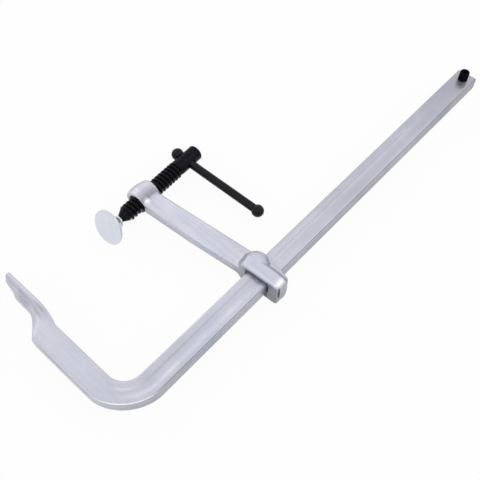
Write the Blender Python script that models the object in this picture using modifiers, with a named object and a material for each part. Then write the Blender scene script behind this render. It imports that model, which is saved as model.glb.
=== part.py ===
"""An all-steel screw clamp lying on its side, in metres, +Z up.

The origin lies on the fixed jaw's clamping face, level with the spindle. +X runs from that
face along the rail to its free end, and +Y runs from the rail towards the tips of the jaws.
The sliding arm stands part way along the rail, leaning as it does when the clamp is slack.
"""

import math

import bmesh
import bpy
from mathutils import Matrix, Vector

# Rail and fixed arm
THROAT = 0.120
RAIL_REACH = 0.4496
RAIL_WIDTH = 0.0205
RAIL_THICK = 0.0130
RAIL_EDGE = 0.0012
RAIL_END_BEVEL = 0.0016
GROOVE_DEPTH = 0.0012
GROOVE_RUNOUT = 0.022
GROOVE_CLEAR_END = 0.070
GROOVE_SHOULDER_SHARE = 0.19
GROOVE_FLOOR_SHARE = 0.11
GROOVE_START_SHARE = 0.25
GROOVE_GROWTH_SHARE = 1.5
FIXED_ARM_WIDTH = 0.0208
BEND_RADIUS = 0.0165
BEND_THINNING = 0.0019
BEND_STEPS = 10

# Fixed jaw: a plate with thin edges and a thick spine behind it
JAW_PROUD = 0.0041
JAW_WIDTH = 0.0205
JAW_BEYOND_AXIS = 0.0225
JAW_LENGTH = 0.0710
JAW_EDGE_THICK = 0.0041
JAW_EDGE = 0.0009
JAW_SPINE = 0.0106
JAW_SPINE_WIDTH = 0.0060
JAW_TIP_WIDTH = 0.0090
JAW_TIP_THICK = 0.0044
JAW_TIP_EDGE_THICK = 0.0030
JAW_TIP_SPINE_WIDTH = 0.0030
JAW_SLOPE_SHARES = (0.25, 0.5, 0.75)
RIB_COUNT = 4
RIB_WIDTH = 0.0013
RIB_DEPTH = 0.0007
RIB_FROM_SHARE = 0.487
RIB_TO_SHARE = 0.749

# Stop screw
STOP_FROM_END = 0.0107
STOP_SHANK = 0.0050
STOP_SHANK_LENGTH = 0.0090
STOP_HEAD = 0.0092
STOP_HEAD_HEIGHT = 0.0092
STOP_SOCKET = 0.0045
STOP_SOCKET_DEPTH = 0.0040
STOP_EDGE = 0.0006
STOP_HOLE_SPARE = 0.0010

# Sliding arm
ARM_AT = 0.1406
ARM_CANT = math.radians(2.8)
COLLAR_LENGTH = 0.0212
COLLAR_WALL = 0.0061
COLLAR_END_WALL = 0.0098
COLLAR_SHOULDER = 0.0090
COLLAR_CORNER = 0.0042
COLLAR_SET_BACK = 0.0009
SLOT_PLAY = 0.0009
SLOT_LEAD_IN = 0.0008
ARM_ROOT_WIDTH = 0.0210
ARM_TIP_WIDTH = 0.0186
ARM_THICK = 0.0108
ARM_EDGE = 0.0018
ARM_ROOT_SET_BACK = 0.0021
ARM_RUNOUT = 0.0020
ARM_LEAN = 0.0036
BOSS_DIAMETER = 0.0200
BOSS_FLARE = 0.0011
BOSS_RISE = 0.0006
BOSS_LENGTH = 0.0228
BOSS_SET_BACK = 0.0035
BOSS_BEVEL = 0.0008
BOSS_MOUTH = 0.0006
BOSS_BELLY_SHARES = (0.7, 0.45)
BOSS_ROOT_THICK = 0.0160
BOSS_ROOT_FROM_AXIS = 0.0050
BOSS_SWELL = 0.0150

# Spindle, measured along its axis from the middle of the sliding arm's collar
SPINDLE_DIAMETER = 0.0156
THREAD_DEPTH = 0.0020
THREAD_PITCH = 0.0040
THREAD_CREST_SHARE = 0.34
THREAD_FLANK_SHARE = 0.16
THREAD_STEPS = 18
THREAD_CLEARANCE = 0.0003
THREAD_FROM = -0.0285
HEAD_FROM = 0.0374
HEAD_END = 0.0631
HEAD_DIAMETER = 0.0147
HEAD_BEVEL = 0.0014
NOSE_AT = -0.0418
NECK_DIAMETER = 0.0046
NECK_LENGTH = 0.0045
CONE_END_DIAMETER = 0.0144

# Ball nose and the snap ring round it
BALL_DIAMETER = 0.0086
RING_DIAMETER = 0.0083
RING_WIRE = 0.0010
RING_BEHIND = 0.0011
RING_GAP = math.radians(35)
RING_FLOOR = 0.0064
FIT = 0.00025

# Pressure pad, measured from the centre of the ball nose
PAD_DIAMETER = 0.0321
PAD_FACE_AHEAD = 0.0092
PAD_RIM = 0.0020
PAD_EDGE = 0.0004
PAD_NECK_DIAMETER = 0.0122
PAD_LIP_DIAMETER = 0.0112
PAD_LIP_AHEAD = 0.0044
PAD_LIP_BEAD = 0.0011
PAD_CREASE = 0.0007
PAD_BACK_SHARES = ((0.16, 0.40), (0.41, 0.71), (0.69, 0.92))
PAD_MOUTH_AHEAD = 0.0031
PAD_TILT = math.radians(19.4)

# Tommy bar
TOMMY_DIAMETER = 0.0077
TOMMY_HOLE_SPARE = 0.0006
TOMMY_BALL_DIAMETER = 0.0104
TOMMY_BALL_SPAN = 0.0949
TOMMY_SPIGOT = 0.0050
TOMMY_SPIGOT_LENGTH = 0.0050
TOMMY_AT = 0.0493
TOMMY_SEATED = 0.0108
TOMMY_TURN = math.radians(3.3)

# Working gaps and the overrun of every cut
CLEARANCE = 0.0003
OVERRUN = 0.0040
WELD = 0.000002

ROUND_STEPS = 32
PAD_STEPS = 40
SMALL_ROUND_STEPS = 20
CORNER_STEPS = 4
SHARP_ANGLE = math.radians(32)

RAIL_LINE = -THROAT - RAIL_WIDTH / 2
SPINDLE_LINE = THROAT + RAIL_WIDTH / 2 + 0.5 * COLLAR_LENGTH * math.sin(ARM_CANT)
SLOT_HALF_WIDTH = RAIL_WIDTH / 2 + COLLAR_LENGTH / 2 * math.sin(ARM_CANT) + CLEARANCE
SLOT_HALF_THICK = RAIL_THICK / 2 + SLOT_PLAY

STEEL = (0.62, 0.62, 0.65, 1.0)
BRIGHT_STEEL = (0.72, 0.73, 0.75, 1.0)
BLACK = (0.018, 0.018, 0.024, 1.0)


def clear_scene():
    for thing in list(bpy.data.objects):
        bpy.data.objects.remove(thing, do_unlink=True)


def new_collection(name):
    collection = bpy.data.collections.new(name)
    bpy.context.scene.collection.children.link(collection)
    return collection


def new_material(name, colour, roughness, metallic):
    material = bpy.data.materials.new(name)
    material.use_nodes = True
    shader = material.node_tree.nodes["Principled BSDF"]
    shader.inputs["Base Color"].default_value = colour
    shader.inputs["Roughness"].default_value = roughness
    shader.inputs["Metallic"].default_value = metallic
    return material


def new_object(name, mesh, collection, parent=None):
    thing = bpy.data.objects.new(name, mesh)
    thing.parent = parent
    collection.objects.link(thing)
    return thing


def hide(thing):
    thing.hide_render = True
    thing.display_type = "WIRE"
    return thing


def finish(thing, material):
    thing.data.materials.append(material)
    thing.data.shade_smooth()
    thing.data.set_sharp_from_angle(angle=SHARP_ANGLE)


def mesh_from(bm, name):
    bmesh.ops.recalc_face_normals(bm, faces=bm.faces)
    mesh = bpy.data.meshes.new(name)
    bm.to_mesh(mesh)
    bm.free()
    return mesh


def loft_mesh(name, rings):
    """A closed skin through rings that each hold the same number of points."""
    bm = bmesh.new()
    loops = [[bm.verts.new(point) for point in ring] for ring in rings]
    for first, second in zip(loops, loops[1:]):
        for i in range(len(first)):
            j = (i + 1) % len(first)
            bm.faces.new((first[i], first[j], second[j], second[i]))
    bm.faces.new(loops[0])
    bm.faces.new(reversed(loops[-1]))
    return mesh_from(bm, name)


def turned(name, profile, steps, collection, parent):
    """A solid of revolution about its own Z, from (radius, height) points, top to bottom."""
    mesh = bpy.data.meshes.new(name)
    points = [(radius, 0.0, height) for radius, height in profile]
    mesh.from_pydata(points, [(i, i + 1) for i in range(len(points) - 1)], [])
    thing = new_object(name, mesh, collection, parent)
    screw = thing.modifiers.new("Turn", "SCREW")
    screw.axis = "Z"
    screw.steps = steps
    screw.render_steps = steps
    screw.use_merge_vertices = True
    screw.merge_threshold = WELD
    return thing


def bake(thing):
    """Replaces an object's mesh by its evaluated one, with its seams welded."""
    bpy.context.view_layer.update()
    graph = bpy.context.evaluated_depsgraph_get()
    mesh = bpy.data.meshes.new_from_object(thing.evaluated_get(graph))
    bm = bmesh.new()
    bm.from_mesh(mesh)
    bmesh.ops.remove_doubles(bm, verts=bm.verts, dist=WELD)
    bmesh.ops.recalc_face_normals(bm, faces=bm.faces)
    bm.to_mesh(mesh)
    bm.free()
    thing.modifiers.clear()
    thing.data = mesh
    return thing


def boolean(thing, other, operation):
    modifier = thing.modifiers.new(other.name, "BOOLEAN")
    modifier.operation = operation
    modifier.solver = "EXACT"
    modifier.object = other
    hide(other)


def arc(centre, radius, start, end, steps):
    """Points (radius, height) along an arc, angles from the +radius side."""
    points = []
    for i in range(steps + 1):
        angle = start + (end - start) * i / steps
        points.append((centre[0] + radius * math.cos(angle), centre[1] + radius * math.sin(angle)))
    return points


def mix(low, high, share):
    return low + (high - low) * share


def smooth(share):
    return share * share * (3 - 2 * share)


def rounded_rectangle(low, high, half_height, corner, steps):
    """Points (across, up) round a rectangle with arcs for corners."""
    corner = min(corner, (high - low) / 2, half_height)
    points = []
    corners = (
        (high, half_height, 0),
        (low, half_height, 1),
        (low, -half_height, 2),
        (high, -half_height, 3),
    )
    for across, up, quarter in corners:
        centre_across = across - math.copysign(corner, across - (low + high) / 2)
        centre_up = up - math.copysign(corner, up)
        for i in range(steps + 1):
            angle = math.pi / 2 * (quarter + i / steps)
            points.append((centre_across + corner * math.cos(angle), centre_up + corner * math.sin(angle)))
    return points


def rail_section(width, thick, groove, edge):
    """Points (outwards, up) round the rail, from its inner edge, with a shallow groove on both faces."""
    half_width = width / 2
    half_thick = thick / 2
    shoulder = width * GROOVE_SHOULDER_SHARE
    floor = width * GROOVE_FLOOR_SHARE
    blend = edge * (1 - math.sqrt(0.5))
    upper = [
        (-half_width, half_thick - edge),
        (-half_width + blend, half_thick - blend),
        (-half_width + edge, half_thick),
        (-shoulder, half_thick),
        (-floor, half_thick - groove * math.sqrt(0.5)),
        (0.0, half_thick - groove),
        (floor, half_thick - groove * math.sqrt(0.5)),
        (shoulder, half_thick),
        (half_width - edge, half_thick),
        (half_width - blend, half_thick - blend),
        (half_width, half_thick - edge),
    ]
    return upper + [(outwards, -up) for outwards, up in reversed(upper)]


def place_section(section, middle, outwards):
    """Stands a section in space, with its outward direction level."""
    return [middle + outwards * across + Vector((0.0, 0.0, up)) for across, up in section]


def jaw_section(front, flange, spine, half_height, half_spine, edge, flats):
    """Points (outwards, up) round a plate with a spine behind it; flats lift its slope to the arm's face."""
    blend = edge * (1 - math.sqrt(0.5))
    round_edge = min(edge, (half_height - half_spine) / 2)
    slope_from = (flange, half_height - round_edge)
    slope_to = (spine - edge, half_spine)
    upper = [
        (0.0, half_height - edge),
        (blend, half_height - blend),
        (edge, half_height),
        (flange - round_edge, half_height),
        slope_from,
    ]
    for share, flat_share in zip(JAW_SLOPE_SHARES, flats):
        straight = mix(slope_from[1], slope_to[1], share)
        upper.append((mix(slope_from[0], slope_to[0], share), mix(straight, RAIL_THICK / 2, flat_share)))
    upper += [slope_to, (spine - blend, half_spine - blend), (spine, half_spine - edge)]
    points = upper + [(outwards, -up) for outwards, up in reversed(upper)]
    return [(outwards - front, up) for outwards, up in points]


def fixed_jaw_rings():
    """Sections of the jaw from its tip back to the fixed arm, each across X."""
    tip = JAW_BEYOND_AXIS
    root = tip - JAW_LENGTH
    arm_half = RAIL_THICK / 2
    # Each row: along, front, plate thickness, plate width, spine depth, spine width, then three flats.
    root_shares = (
        (0.0, 0.0, 1.0, 0.0, 0.0, 0.0, 1.0, 1.0, 1.0),
        (0.10, 0.0, 1.0, 0.0, 0.06, 0.0, 1.0, 1.0, 1.0),
        (0.16, 0.32, 1.0, 0.10, 0.12, 0.05, 1.0, 1.0, 1.0),
        (0.21, 0.58, 1.0, 0.30, 0.20, 0.20, 1.0, 1.0, 0.9),
        (0.26, 0.68, 1.0, 0.52, 0.40, 0.42, 1.0, 1.0, 0.6),
        (0.32, 0.78, 1.0, 0.78, 0.64, 0.66, 1.0, 0.8, 0.25),
        (0.38, 0.88, 1.0, 0.94, 0.86, 0.86, 0.7, 0.3, 0.0),
        (0.45, 0.96, 1.0, 1.0, 1.0, 1.0, 0.15, 0.0, 0.0),
        (0.52, 1.0, 1.0, 1.0, 1.0, 1.0, 0.0, 0.0, 0.0),
    )
    # Each row: along, thinning of the plate, of the spine, and narrowing.
    tip_shares = (
        (0.70, 0.0, 0.0, 0.0),
        (0.752, 0.0, 0.10, 0.0),
        (0.772, 0.05, 0.32, 0.0),
        (0.84, 0.15, 0.46, 0.04),
        (0.90, 0.35, 0.62, 0.12),
        (0.945, 0.60, 0.78, 0.30),
        (0.98, 0.80, 0.90, 0.60),
        (1.0, 1.0, 1.0, 1.0),
    )
    rings = []
    for along, front, plate, height, spine, body, *flats in root_shares:
        section = jaw_section(
            mix(-JAW_PROUD, 0.0, front),
            JAW_EDGE_THICK * plate,
            mix(FIXED_ARM_WIDTH, JAW_SPINE, spine),
            mix(arm_half, JAW_WIDTH / 2, height),
            mix(arm_half, JAW_SPINE_WIDTH / 2, body),
            mix(RAIL_EDGE, JAW_EDGE, body),
            flats,
        )
        rings.append((along, section))
    for along, thin, spine, narrow in tip_shares:
        section = jaw_section(
            0.0,
            mix(JAW_EDGE_THICK, JAW_TIP_EDGE_THICK, thin),
            mix(JAW_SPINE, JAW_TIP_THICK, spine),
            mix(JAW_WIDTH, JAW_TIP_WIDTH, narrow) / 2,
            mix(JAW_SPINE_WIDTH, JAW_TIP_SPINE_WIDTH, narrow) / 2,
            JAW_EDGE,
            (0.0, 0.0, 0.0),
        )
        rings.append((along, section))
    outwards = Vector((-1.0, 0.0, 0.0))
    return [
        place_section(section, Vector((0.0, mix(root, tip, along), 0.0)), outwards)
        for along, section in reversed(rings)
    ]


def bend_rings():
    """Sections round the bend, from the fixed arm to the rail."""
    centre = Vector((-JAW_PROUD + BEND_RADIUS, -THROAT + BEND_RADIUS, 0.0))
    rings = []
    fade = centre.y + GROOVE_RUNOUT
    plain = rail_section(FIXED_ARM_WIDTH, RAIL_THICK, 0.0, RAIL_EDGE)
    arm_line = -JAW_PROUD - FIXED_ARM_WIDTH / 2
    rings.append(place_section(plain, Vector((arm_line, fade, 0.0)), Vector((-1.0, 0.0, 0.0))))
    for i in range(BEND_STEPS + 1):
        share = i / BEND_STEPS
        angle = math.pi * (1 + share / 2)
        outwards = Vector((math.cos(angle), math.sin(angle), 0.0))
        width = mix(FIXED_ARM_WIDTH, RAIL_WIDTH, share) - BEND_THINNING * math.sin(math.pi * share)
        groove = GROOVE_DEPTH * smooth(min(1.0, GROOVE_START_SHARE + GROOVE_GROWTH_SHARE * share))
        section = rail_section(width, RAIL_THICK, groove, RAIL_EDGE)
        rings.append(place_section(section, centre + outwards * (BEND_RADIUS + width / 2), outwards))
    return rings


def rail_end_rings():
    """Sections along the straight rail, where the groove runs out, and at its bevelled end."""
    outwards = Vector((0.0, -1.0, 0.0))
    clear_from = RAIL_REACH - GROOVE_CLEAR_END
    stations = (
        (clear_from - GROOVE_RUNOUT, GROOVE_DEPTH, 0.0),
        (clear_from - GROOVE_RUNOUT / 2, GROOVE_DEPTH / 2, 0.0),
        (clear_from, 0.0, 0.0),
        (RAIL_REACH - RAIL_END_BEVEL, 0.0, 0.0),
        (RAIL_REACH, 0.0, RAIL_END_BEVEL),
    )
    rings = []
    for place, groove, inset in stations:
        section = rail_section(RAIL_WIDTH - 2 * inset, RAIL_THICK - 2 * inset, groove, RAIL_EDGE)
        rings.append(place_section(section, Vector((place, RAIL_LINE, 0.0)), outwards))
    return rings


def build_rail(parts, cutters, material):
    rings = fixed_jaw_rings() + bend_rings() + rail_end_rings()
    rail = new_object("rail", loft_mesh("rail", rings), parts)
    plate_edge = Vector((-JAW_EDGE_THICK, 0.0, JAW_WIDTH / 2 - JAW_EDGE))
    spine_edge = Vector((JAW_EDGE - JAW_SPINE, 0.0, JAW_SPINE_WIDTH / 2))
    slope = spine_edge - plate_edge
    rib_length = JAW_LENGTH * (RIB_TO_SHARE - RIB_FROM_SHARE)
    rib_middle = JAW_BEYOND_AXIS - JAW_LENGTH * (1 - (RIB_FROM_SHARE + RIB_TO_SHARE) / 2)
    bm = bmesh.new()
    for side in (1, -1):
        for i in range(RIB_COUNT):
            place = plate_edge + slope * ((i + 0.5) / RIB_COUNT)
            turn = Matrix.Rotation(-side * math.atan2(-slope.z, -slope.x), 4, "Y")
            stretch = Matrix.Diagonal((RIB_WIDTH, rib_length, 2 * RIB_DEPTH, 1.0))
            matrix = Matrix.Translation((place.x, rib_middle, side * place.z)) @ turn @ stretch
            bmesh.ops.create_uvsphere(bm, u_segments=10, v_segments=6, radius=0.5, matrix=matrix)
    ribs = new_object("rib_cutter", mesh_from(bm, "rib_cutter"), cutters)
    boolean(rail, ribs, "DIFFERENCE")
    hole_depth = STOP_SHANK_LENGTH + STOP_HOLE_SPARE
    radius = STOP_SHANK / 2 + CLEARANCE
    top = RAIL_THICK / 2
    profile = [
        (0.0, top + OVERRUN),
        (radius, top + OVERRUN),
        (radius, top - hole_depth),
        (0.0, top - hole_depth - radius / math.sqrt(3)),
    ]
    drill = turned("stop_hole_cutter", profile, SMALL_ROUND_STEPS, cutters, None)
    drill.location = (RAIL_REACH - STOP_FROM_END, RAIL_LINE, 0.0)
    boolean(rail, drill, "DIFFERENCE")
    finish(rail, material)


def build_stop_screw(parts, cutters, material):
    head = STOP_HEAD / 2
    top = STOP_HEAD_HEIGHT
    shank = STOP_SHANK / 2
    profile = [
        (0.0, top),
        (head - STOP_EDGE, top),
        (head, top - STOP_EDGE),
        (head, 0.0),
        (shank, 0.0),
        (shank, -STOP_SHANK_LENGTH + STOP_EDGE),
        (shank - STOP_EDGE, -STOP_SHANK_LENGTH),
        (0.0, -STOP_SHANK_LENGTH),
    ]
    screw = turned("stop_screw", profile, ROUND_STEPS, parts, None)
    screw.location = (RAIL_REACH - STOP_FROM_END, RAIL_LINE, RAIL_THICK / 2 + CLEARANCE)
    bm = bmesh.new()
    corner = STOP_SOCKET / math.sqrt(3)
    depth = STOP_SOCKET_DEPTH + OVERRUN
    bmesh.ops.create_cone(bm, cap_ends=True, segments=6, radius1=corner, radius2=corner, depth=depth)
    socket = new_object("stop_socket_cutter", mesh_from(bm, "stop_socket_cutter"), cutters, screw)
    socket.location = (0.0, 0.0, top - STOP_SOCKET_DEPTH + depth / 2)
    boolean(screw, socket, "DIFFERENCE")
    finish(screw, material)


def arm_rings():
    """Sections of the sliding forging across Y, from the collar's closed end up to the boss."""
    collar_bottom = -SLOT_HALF_WIDTH - COLLAR_END_WALL
    collar_top = SLOT_HALF_WIDTH + COLLAR_SHOULDER
    half_length = COLLAR_LENGTH / 2
    half_height = SLOT_HALF_THICK + COLLAR_WALL
    # Each row: along, length, height, set back.
    collar_shares = (
        (-1.0, 0.36, 0.62, 0.16),
        (-0.965, 0.58, 0.80, 0.14),
        (-0.91, 0.77, 0.92, 0.10),
        (-0.82, 0.87, 0.98, 0.04),
        (-0.68, 0.90, 1.0, 0.0),
        (-0.35, 0.91, 1.0, 0.0),
        (0.0, 0.93, 1.0, 0.0),
        (0.35, 0.97, 0.99, 0.0),
        (0.60, 1.0, 0.93, 0.02),
        (0.80, 1.0, 0.76, 0.06),
    )
    rings = []
    for along, length_share, height_share, back_share in collar_shares:
        place = mix(0.0, collar_top if along > 0 else -collar_bottom, along)
        middle = -COLLAR_SET_BACK - half_length * back_share
        low = middle - half_length * length_share
        high = middle + half_length * length_share
        section = rounded_rectangle(low, high, half_height * height_share, COLLAR_CORNER, CORNER_STEPS)
        rings.append((place, section))
    arm_bottom = collar_top + ARM_RUNOUT
    arm_length = SPINDLE_LINE - arm_bottom
    swell = SPINDLE_LINE - BOSS_SWELL
    root = SPINDLE_LINE - BOSS_ROOT_FROM_AXIS
    # Each row: place along the arm, and how far its thickness has grown towards the boss.
    swell_shares = (
        (arm_bottom, 0.0),
        (swell, 0.0),
        (mix(swell, root, 0.6), 0.30),
        (root, 0.85),
        (SPINDLE_LINE, 1.0),
    )
    for place, thick_share in swell_shares:
        along = (place - arm_bottom) / arm_length
        middle = -ARM_ROOT_SET_BACK - ARM_LEAN * along
        half_width = mix(ARM_ROOT_WIDTH, ARM_TIP_WIDTH, along) / 2
        half_thick = mix(ARM_THICK, BOSS_ROOT_THICK, thick_share) / 2
        corner = mix(ARM_EDGE, COLLAR_CORNER, thick_share)
        low = middle - half_width
        high = middle + half_width
        rings.append((place, rounded_rectangle(low, high, half_thick, corner, CORNER_STEPS)))
    return [[(across, place, up) for across, up in section] for place, section in rings]


def thread_mesh(name, root, crest, crest_share, flank_share, start, turns, collection, parent):
    """A closed right-hand threaded rod about its own Z: one pitch of profile, wound by a Screw."""
    flank = (1 - crest_share) / 2 - flank_share
    shares = (
        (flank, root),
        (flank + flank_share, crest),
        (flank + flank_share + crest_share, crest),
        (1 - flank, root),
        (1 + flank, root),
    )
    points = [(radius, 0.0, start + THREAD_PITCH * share) for share, radius in reversed(shares)]
    mesh = bpy.data.meshes.new(name)
    mesh.from_pydata(points, [(i, i + 1) for i in range(len(points) - 1)], [])
    rod = new_object(name, mesh, collection, parent)
    wind = rod.modifiers.new("Wind", "SCREW")
    wind.axis = "Z"
    wind.steps = THREAD_STEPS
    wind.render_steps = THREAD_STEPS
    wind.iterations = turns
    wind.screw_offset = THREAD_PITCH
    bake(rod)
    bm = bmesh.new()
    bm.from_mesh(rod.data)
    middle = start + THREAD_PITCH * (turns + 1) / 2
    low = bm.verts.new((0.0, 0.0, start + THREAD_PITCH * (0.5 + flank)))
    high = bm.verts.new((0.0, 0.0, start + THREAD_PITCH * (turns + 0.5 + flank)))
    for edge in [edge for edge in bm.edges if edge.is_boundary]:
        end = low if (edge.verts[0].co.z + edge.verts[1].co.z) / 2 < middle else high
        bm.faces.new((edge.verts[0], edge.verts[1], end))
    bmesh.ops.recalc_face_normals(bm, faces=bm.faces)
    bm.to_mesh(rod.data)
    bm.free()
    return rod


def build_sliding_arm(parts, cutters, carrier, spindle_frame, material):
    arm = new_object("sliding_arm", loft_mesh("sliding_arm", arm_rings()), parts, carrier)
    side = BOSS_DIAMETER / 2
    foot = side + BOSS_FLARE
    top = BOSS_LENGTH / 2 - BOSS_SET_BACK
    bottom = -BOSS_LENGTH / 2 - BOSS_SET_BACK
    belly_share, down_share = BOSS_BELLY_SHARES
    profile = [
        (0.0, top),
        (side - BOSS_BEVEL, top),
        (side, top - BOSS_BEVEL),
        (mix(side, foot, belly_share), mix(top, bottom, down_share)),
        (foot, bottom + BOSS_BEVEL),
        (foot - BOSS_BEVEL, bottom),
        (0.0, bottom),
    ]
    boss = turned("boss_shape", profile, ROUND_STEPS, cutters, spindle_frame)
    boss.location = (0.0, BOSS_RISE, 0.0)
    boolean(arm, boss, "UNION")
    half_length = COLLAR_LENGTH / 2
    stations = (
        (-half_length - OVERRUN, SLOT_LEAD_IN + OVERRUN),
        (-half_length + SLOT_LEAD_IN, 0.0),
        (half_length - SLOT_LEAD_IN, 0.0),
        (half_length + OVERRUN, SLOT_LEAD_IN + OVERRUN),
    )
    rings = []
    for place, flare in stations:
        wide = SLOT_HALF_WIDTH + flare
        section = rounded_rectangle(-wide, wide, SLOT_HALF_THICK + flare, RAIL_EDGE, 1)
        rings.append([(place, across, up) for across, up in section])
    slot = new_object("slot_cutter", loft_mesh("slot_cutter", rings), cutters, carrier)
    boolean(arm, slot, "DIFFERENCE")
    spare = THREAD_CLEARANCE
    mouth = SPINDLE_DIAMETER / 2 + spare + BOSS_MOUTH
    depth = THREAD_DEPTH + 2 * BOSS_MOUTH
    for name, face, way in (("mouth_cutter_near", bottom, -1), ("mouth_cutter_far", top, 1)):
        bm = bmesh.new()
        bmesh.ops.create_cone(
            bm,
            cap_ends=True,
            segments=ROUND_STEPS,
            radius1=mouth - depth,
            radius2=mouth + OVERRUN,
            depth=depth + OVERRUN,
        )
        cone = new_object(name, mesh_from(bm, name), cutters, spindle_frame)
        cone.location = (0.0, 0.0, face + way * (OVERRUN - depth) / 2)
        cone.rotation_euler = (0.0 if way > 0 else math.pi, 0.0, 0.0)
        boolean(arm, cone, "DIFFERENCE")
    widen = 2 * spare / THREAD_PITCH
    first = THREAD_PITCH * math.floor((bottom - OVERRUN) / THREAD_PITCH - 1)
    turns = math.ceil((top + OVERRUN - first) / THREAD_PITCH)
    crest = SPINDLE_DIAMETER / 2 + spare
    tap = thread_mesh(
        "tap_cutter",
        crest - THREAD_DEPTH,
        crest,
        THREAD_CREST_SHARE + widen,
        THREAD_FLANK_SHARE,
        first,
        turns,
        cutters,
        spindle_frame,
    )
    boolean(arm, tap, "DIFFERENCE")
    finish(arm, material)


def build_spindle(parts, cutters, spindle_frame, material):
    ball = BALL_DIAMETER / 2
    neck = NECK_DIAMETER / 2
    crest = SPINDLE_DIAMETER / 2
    head = HEAD_DIAMETER / 2
    groove_half = RING_WIRE / 2 + FIT
    groove_low = NOSE_AT + RING_BEHIND - groove_half
    groove_high = NOSE_AT + RING_BEHIND + groove_half
    groove_floor = RING_FLOOR / 2
    cone_start = NOSE_AT + NECK_LENGTH
    leave = math.asin(neck / ball)
    groove_low_angle = math.asin((groove_low - NOSE_AT) / ball)
    groove_high_angle = math.asin((groove_high - NOSE_AT) / ball)
    centre = (0.0, NOSE_AT)
    cone_end = CONE_END_DIAMETER / 2
    blank = crest + OVERRUN
    runout = crest - THREAD_DEPTH / 2
    profile = [
        (0.0, HEAD_FROM + HEAD_BEVEL),
        (runout, HEAD_FROM + HEAD_BEVEL),
        (runout, HEAD_FROM),
        (blank, HEAD_FROM - blank + runout),
        (blank, THREAD_FROM + blank - cone_end),
        (cone_end, THREAD_FROM),
        (neck, cone_start),
    ]
    profile += arc(centre, ball, math.pi / 2 - leave, groove_high_angle, 3)
    profile += [(groove_floor, groove_high), (groove_floor, groove_low)]
    profile += arc(centre, ball, groove_low_angle, -math.pi / 2, 5)[:-1] + [(0.0, NOSE_AT - ball)]
    spindle = turned("spindle", profile, ROUND_STEPS, parts, spindle_frame)
    first = THREAD_PITCH * math.floor((NOSE_AT - ball) / THREAD_PITCH - 2)
    turns = math.ceil((HEAD_FROM + OVERRUN - first) / THREAD_PITCH)
    thread = thread_mesh(
        "thread_limit",
        crest - THREAD_DEPTH,
        crest,
        THREAD_CREST_SHARE,
        THREAD_FLANK_SHARE,
        first,
        turns,
        cutters,
        spindle_frame,
    )
    boolean(spindle, thread, "INTERSECT")
    bevel = HEAD_BEVEL * (1 - math.sqrt(0.5))
    head_profile = [
        (0.0, HEAD_END),
        (head - HEAD_BEVEL, HEAD_END),
        (head - bevel, HEAD_END - bevel),
        (head, HEAD_END - HEAD_BEVEL),
        (head, HEAD_FROM + bevel),
        (head - bevel, HEAD_FROM),
        (0.0, HEAD_FROM),
    ]
    head_shape = turned("head_shape", head_profile, ROUND_STEPS, cutters, spindle_frame)
    boolean(spindle, head_shape, "UNION")
    hole = (TOMMY_DIAMETER + TOMMY_HOLE_SPARE) / 2
    cross = new_cylinder("cross_hole_cutter", hole, HEAD_DIAMETER + 2 * OVERRUN, cutters, spindle_frame)
    cross.location = (0.0, 0.0, TOMMY_AT)
    cross.rotation_euler = (math.pi / 2, 0.0, TOMMY_TURN)
    boolean(spindle, cross, "DIFFERENCE")
    finish(spindle, material)


def new_cylinder(name, radius, length, collection, parent):
    bm = bmesh.new()
    steps = SMALL_ROUND_STEPS
    bmesh.ops.create_cone(bm, cap_ends=True, segments=steps, radius1=radius, radius2=radius, depth=length)
    return new_object(name, mesh_from(bm, name), collection, parent)


def build_snap_ring(parts, spindle_frame, material):
    curve = bpy.data.curves.new("pad_snap_ring", "CURVE")
    curve.dimensions = "3D"
    curve.bevel_depth = RING_WIRE / 2
    curve.bevel_resolution = 2
    curve.use_fill_caps = True
    spline = curve.splines.new("POLY")
    spline.points.add(SMALL_ROUND_STEPS - 1)
    for i, point in enumerate(spline.points):
        angle = RING_GAP / 2 + (2 * math.pi - RING_GAP) * i / (SMALL_ROUND_STEPS - 1)
        along = RING_DIAMETER / 2 * math.cos(angle)
        across = RING_DIAMETER / 2 * math.sin(angle)
        point.co = (along, across, RING_BEHIND, 1.0)
    ring = new_object("pad_snap_ring", curve, parts, spindle_frame)
    ring.location = (0.0, 0.0, NOSE_AT)
    curve.materials.append(material)


def build_pressure_pad(parts, spindle_frame, material):
    chamber = math.hypot(RING_DIAMETER / 2, RING_BEHIND) + RING_WIRE / 2 + FIT
    mouth_angle = math.asin(PAD_MOUTH_AHEAD / chamber)
    flare = PAD_LIP_AHEAD / math.tan(mouth_angle)
    rim = PAD_DIAMETER / 2
    neck = PAD_NECK_DIAMETER / 2
    lip = PAD_LIP_DIAMETER / 2
    face = -PAD_FACE_AHEAD
    bead = PAD_LIP_BEAD
    crease = PAD_LIP_AHEAD - bead - PAD_CREASE
    shoulder = crease - bead
    rim_back = face + PAD_RIM
    profile = arc((0.0, 0.0), chamber, -math.pi / 2, mouth_angle, 8)
    profile[0] = (0.0, -chamber)
    profile += [
        (min(flare, lip - bead / 2), PAD_LIP_AHEAD),
        (lip - bead / 4, PAD_LIP_AHEAD - bead / 8),
        (lip, PAD_LIP_AHEAD - bead / 2),
        (lip - bead / 4, PAD_LIP_AHEAD - bead),
        (lip - PAD_CREASE, crease),
        (neck, shoulder),
    ]
    profile += [(mix(neck, rim, out), mix(shoulder, rim_back, down)) for out, down in PAD_BACK_SHARES]
    profile += [
        (rim - PAD_EDGE, rim_back),
        (rim, rim_back - PAD_EDGE),
        (rim, face + PAD_EDGE),
        (rim - PAD_EDGE, face),
        (0.0, face),
    ]
    pad = turned("pressure_pad", profile, PAD_STEPS, parts, spindle_frame)
    pad.location = (0.0, 0.0, NOSE_AT)
    pad.rotation_euler = (0.0, PAD_TILT, 0.0)
    finish(pad, material)


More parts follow.
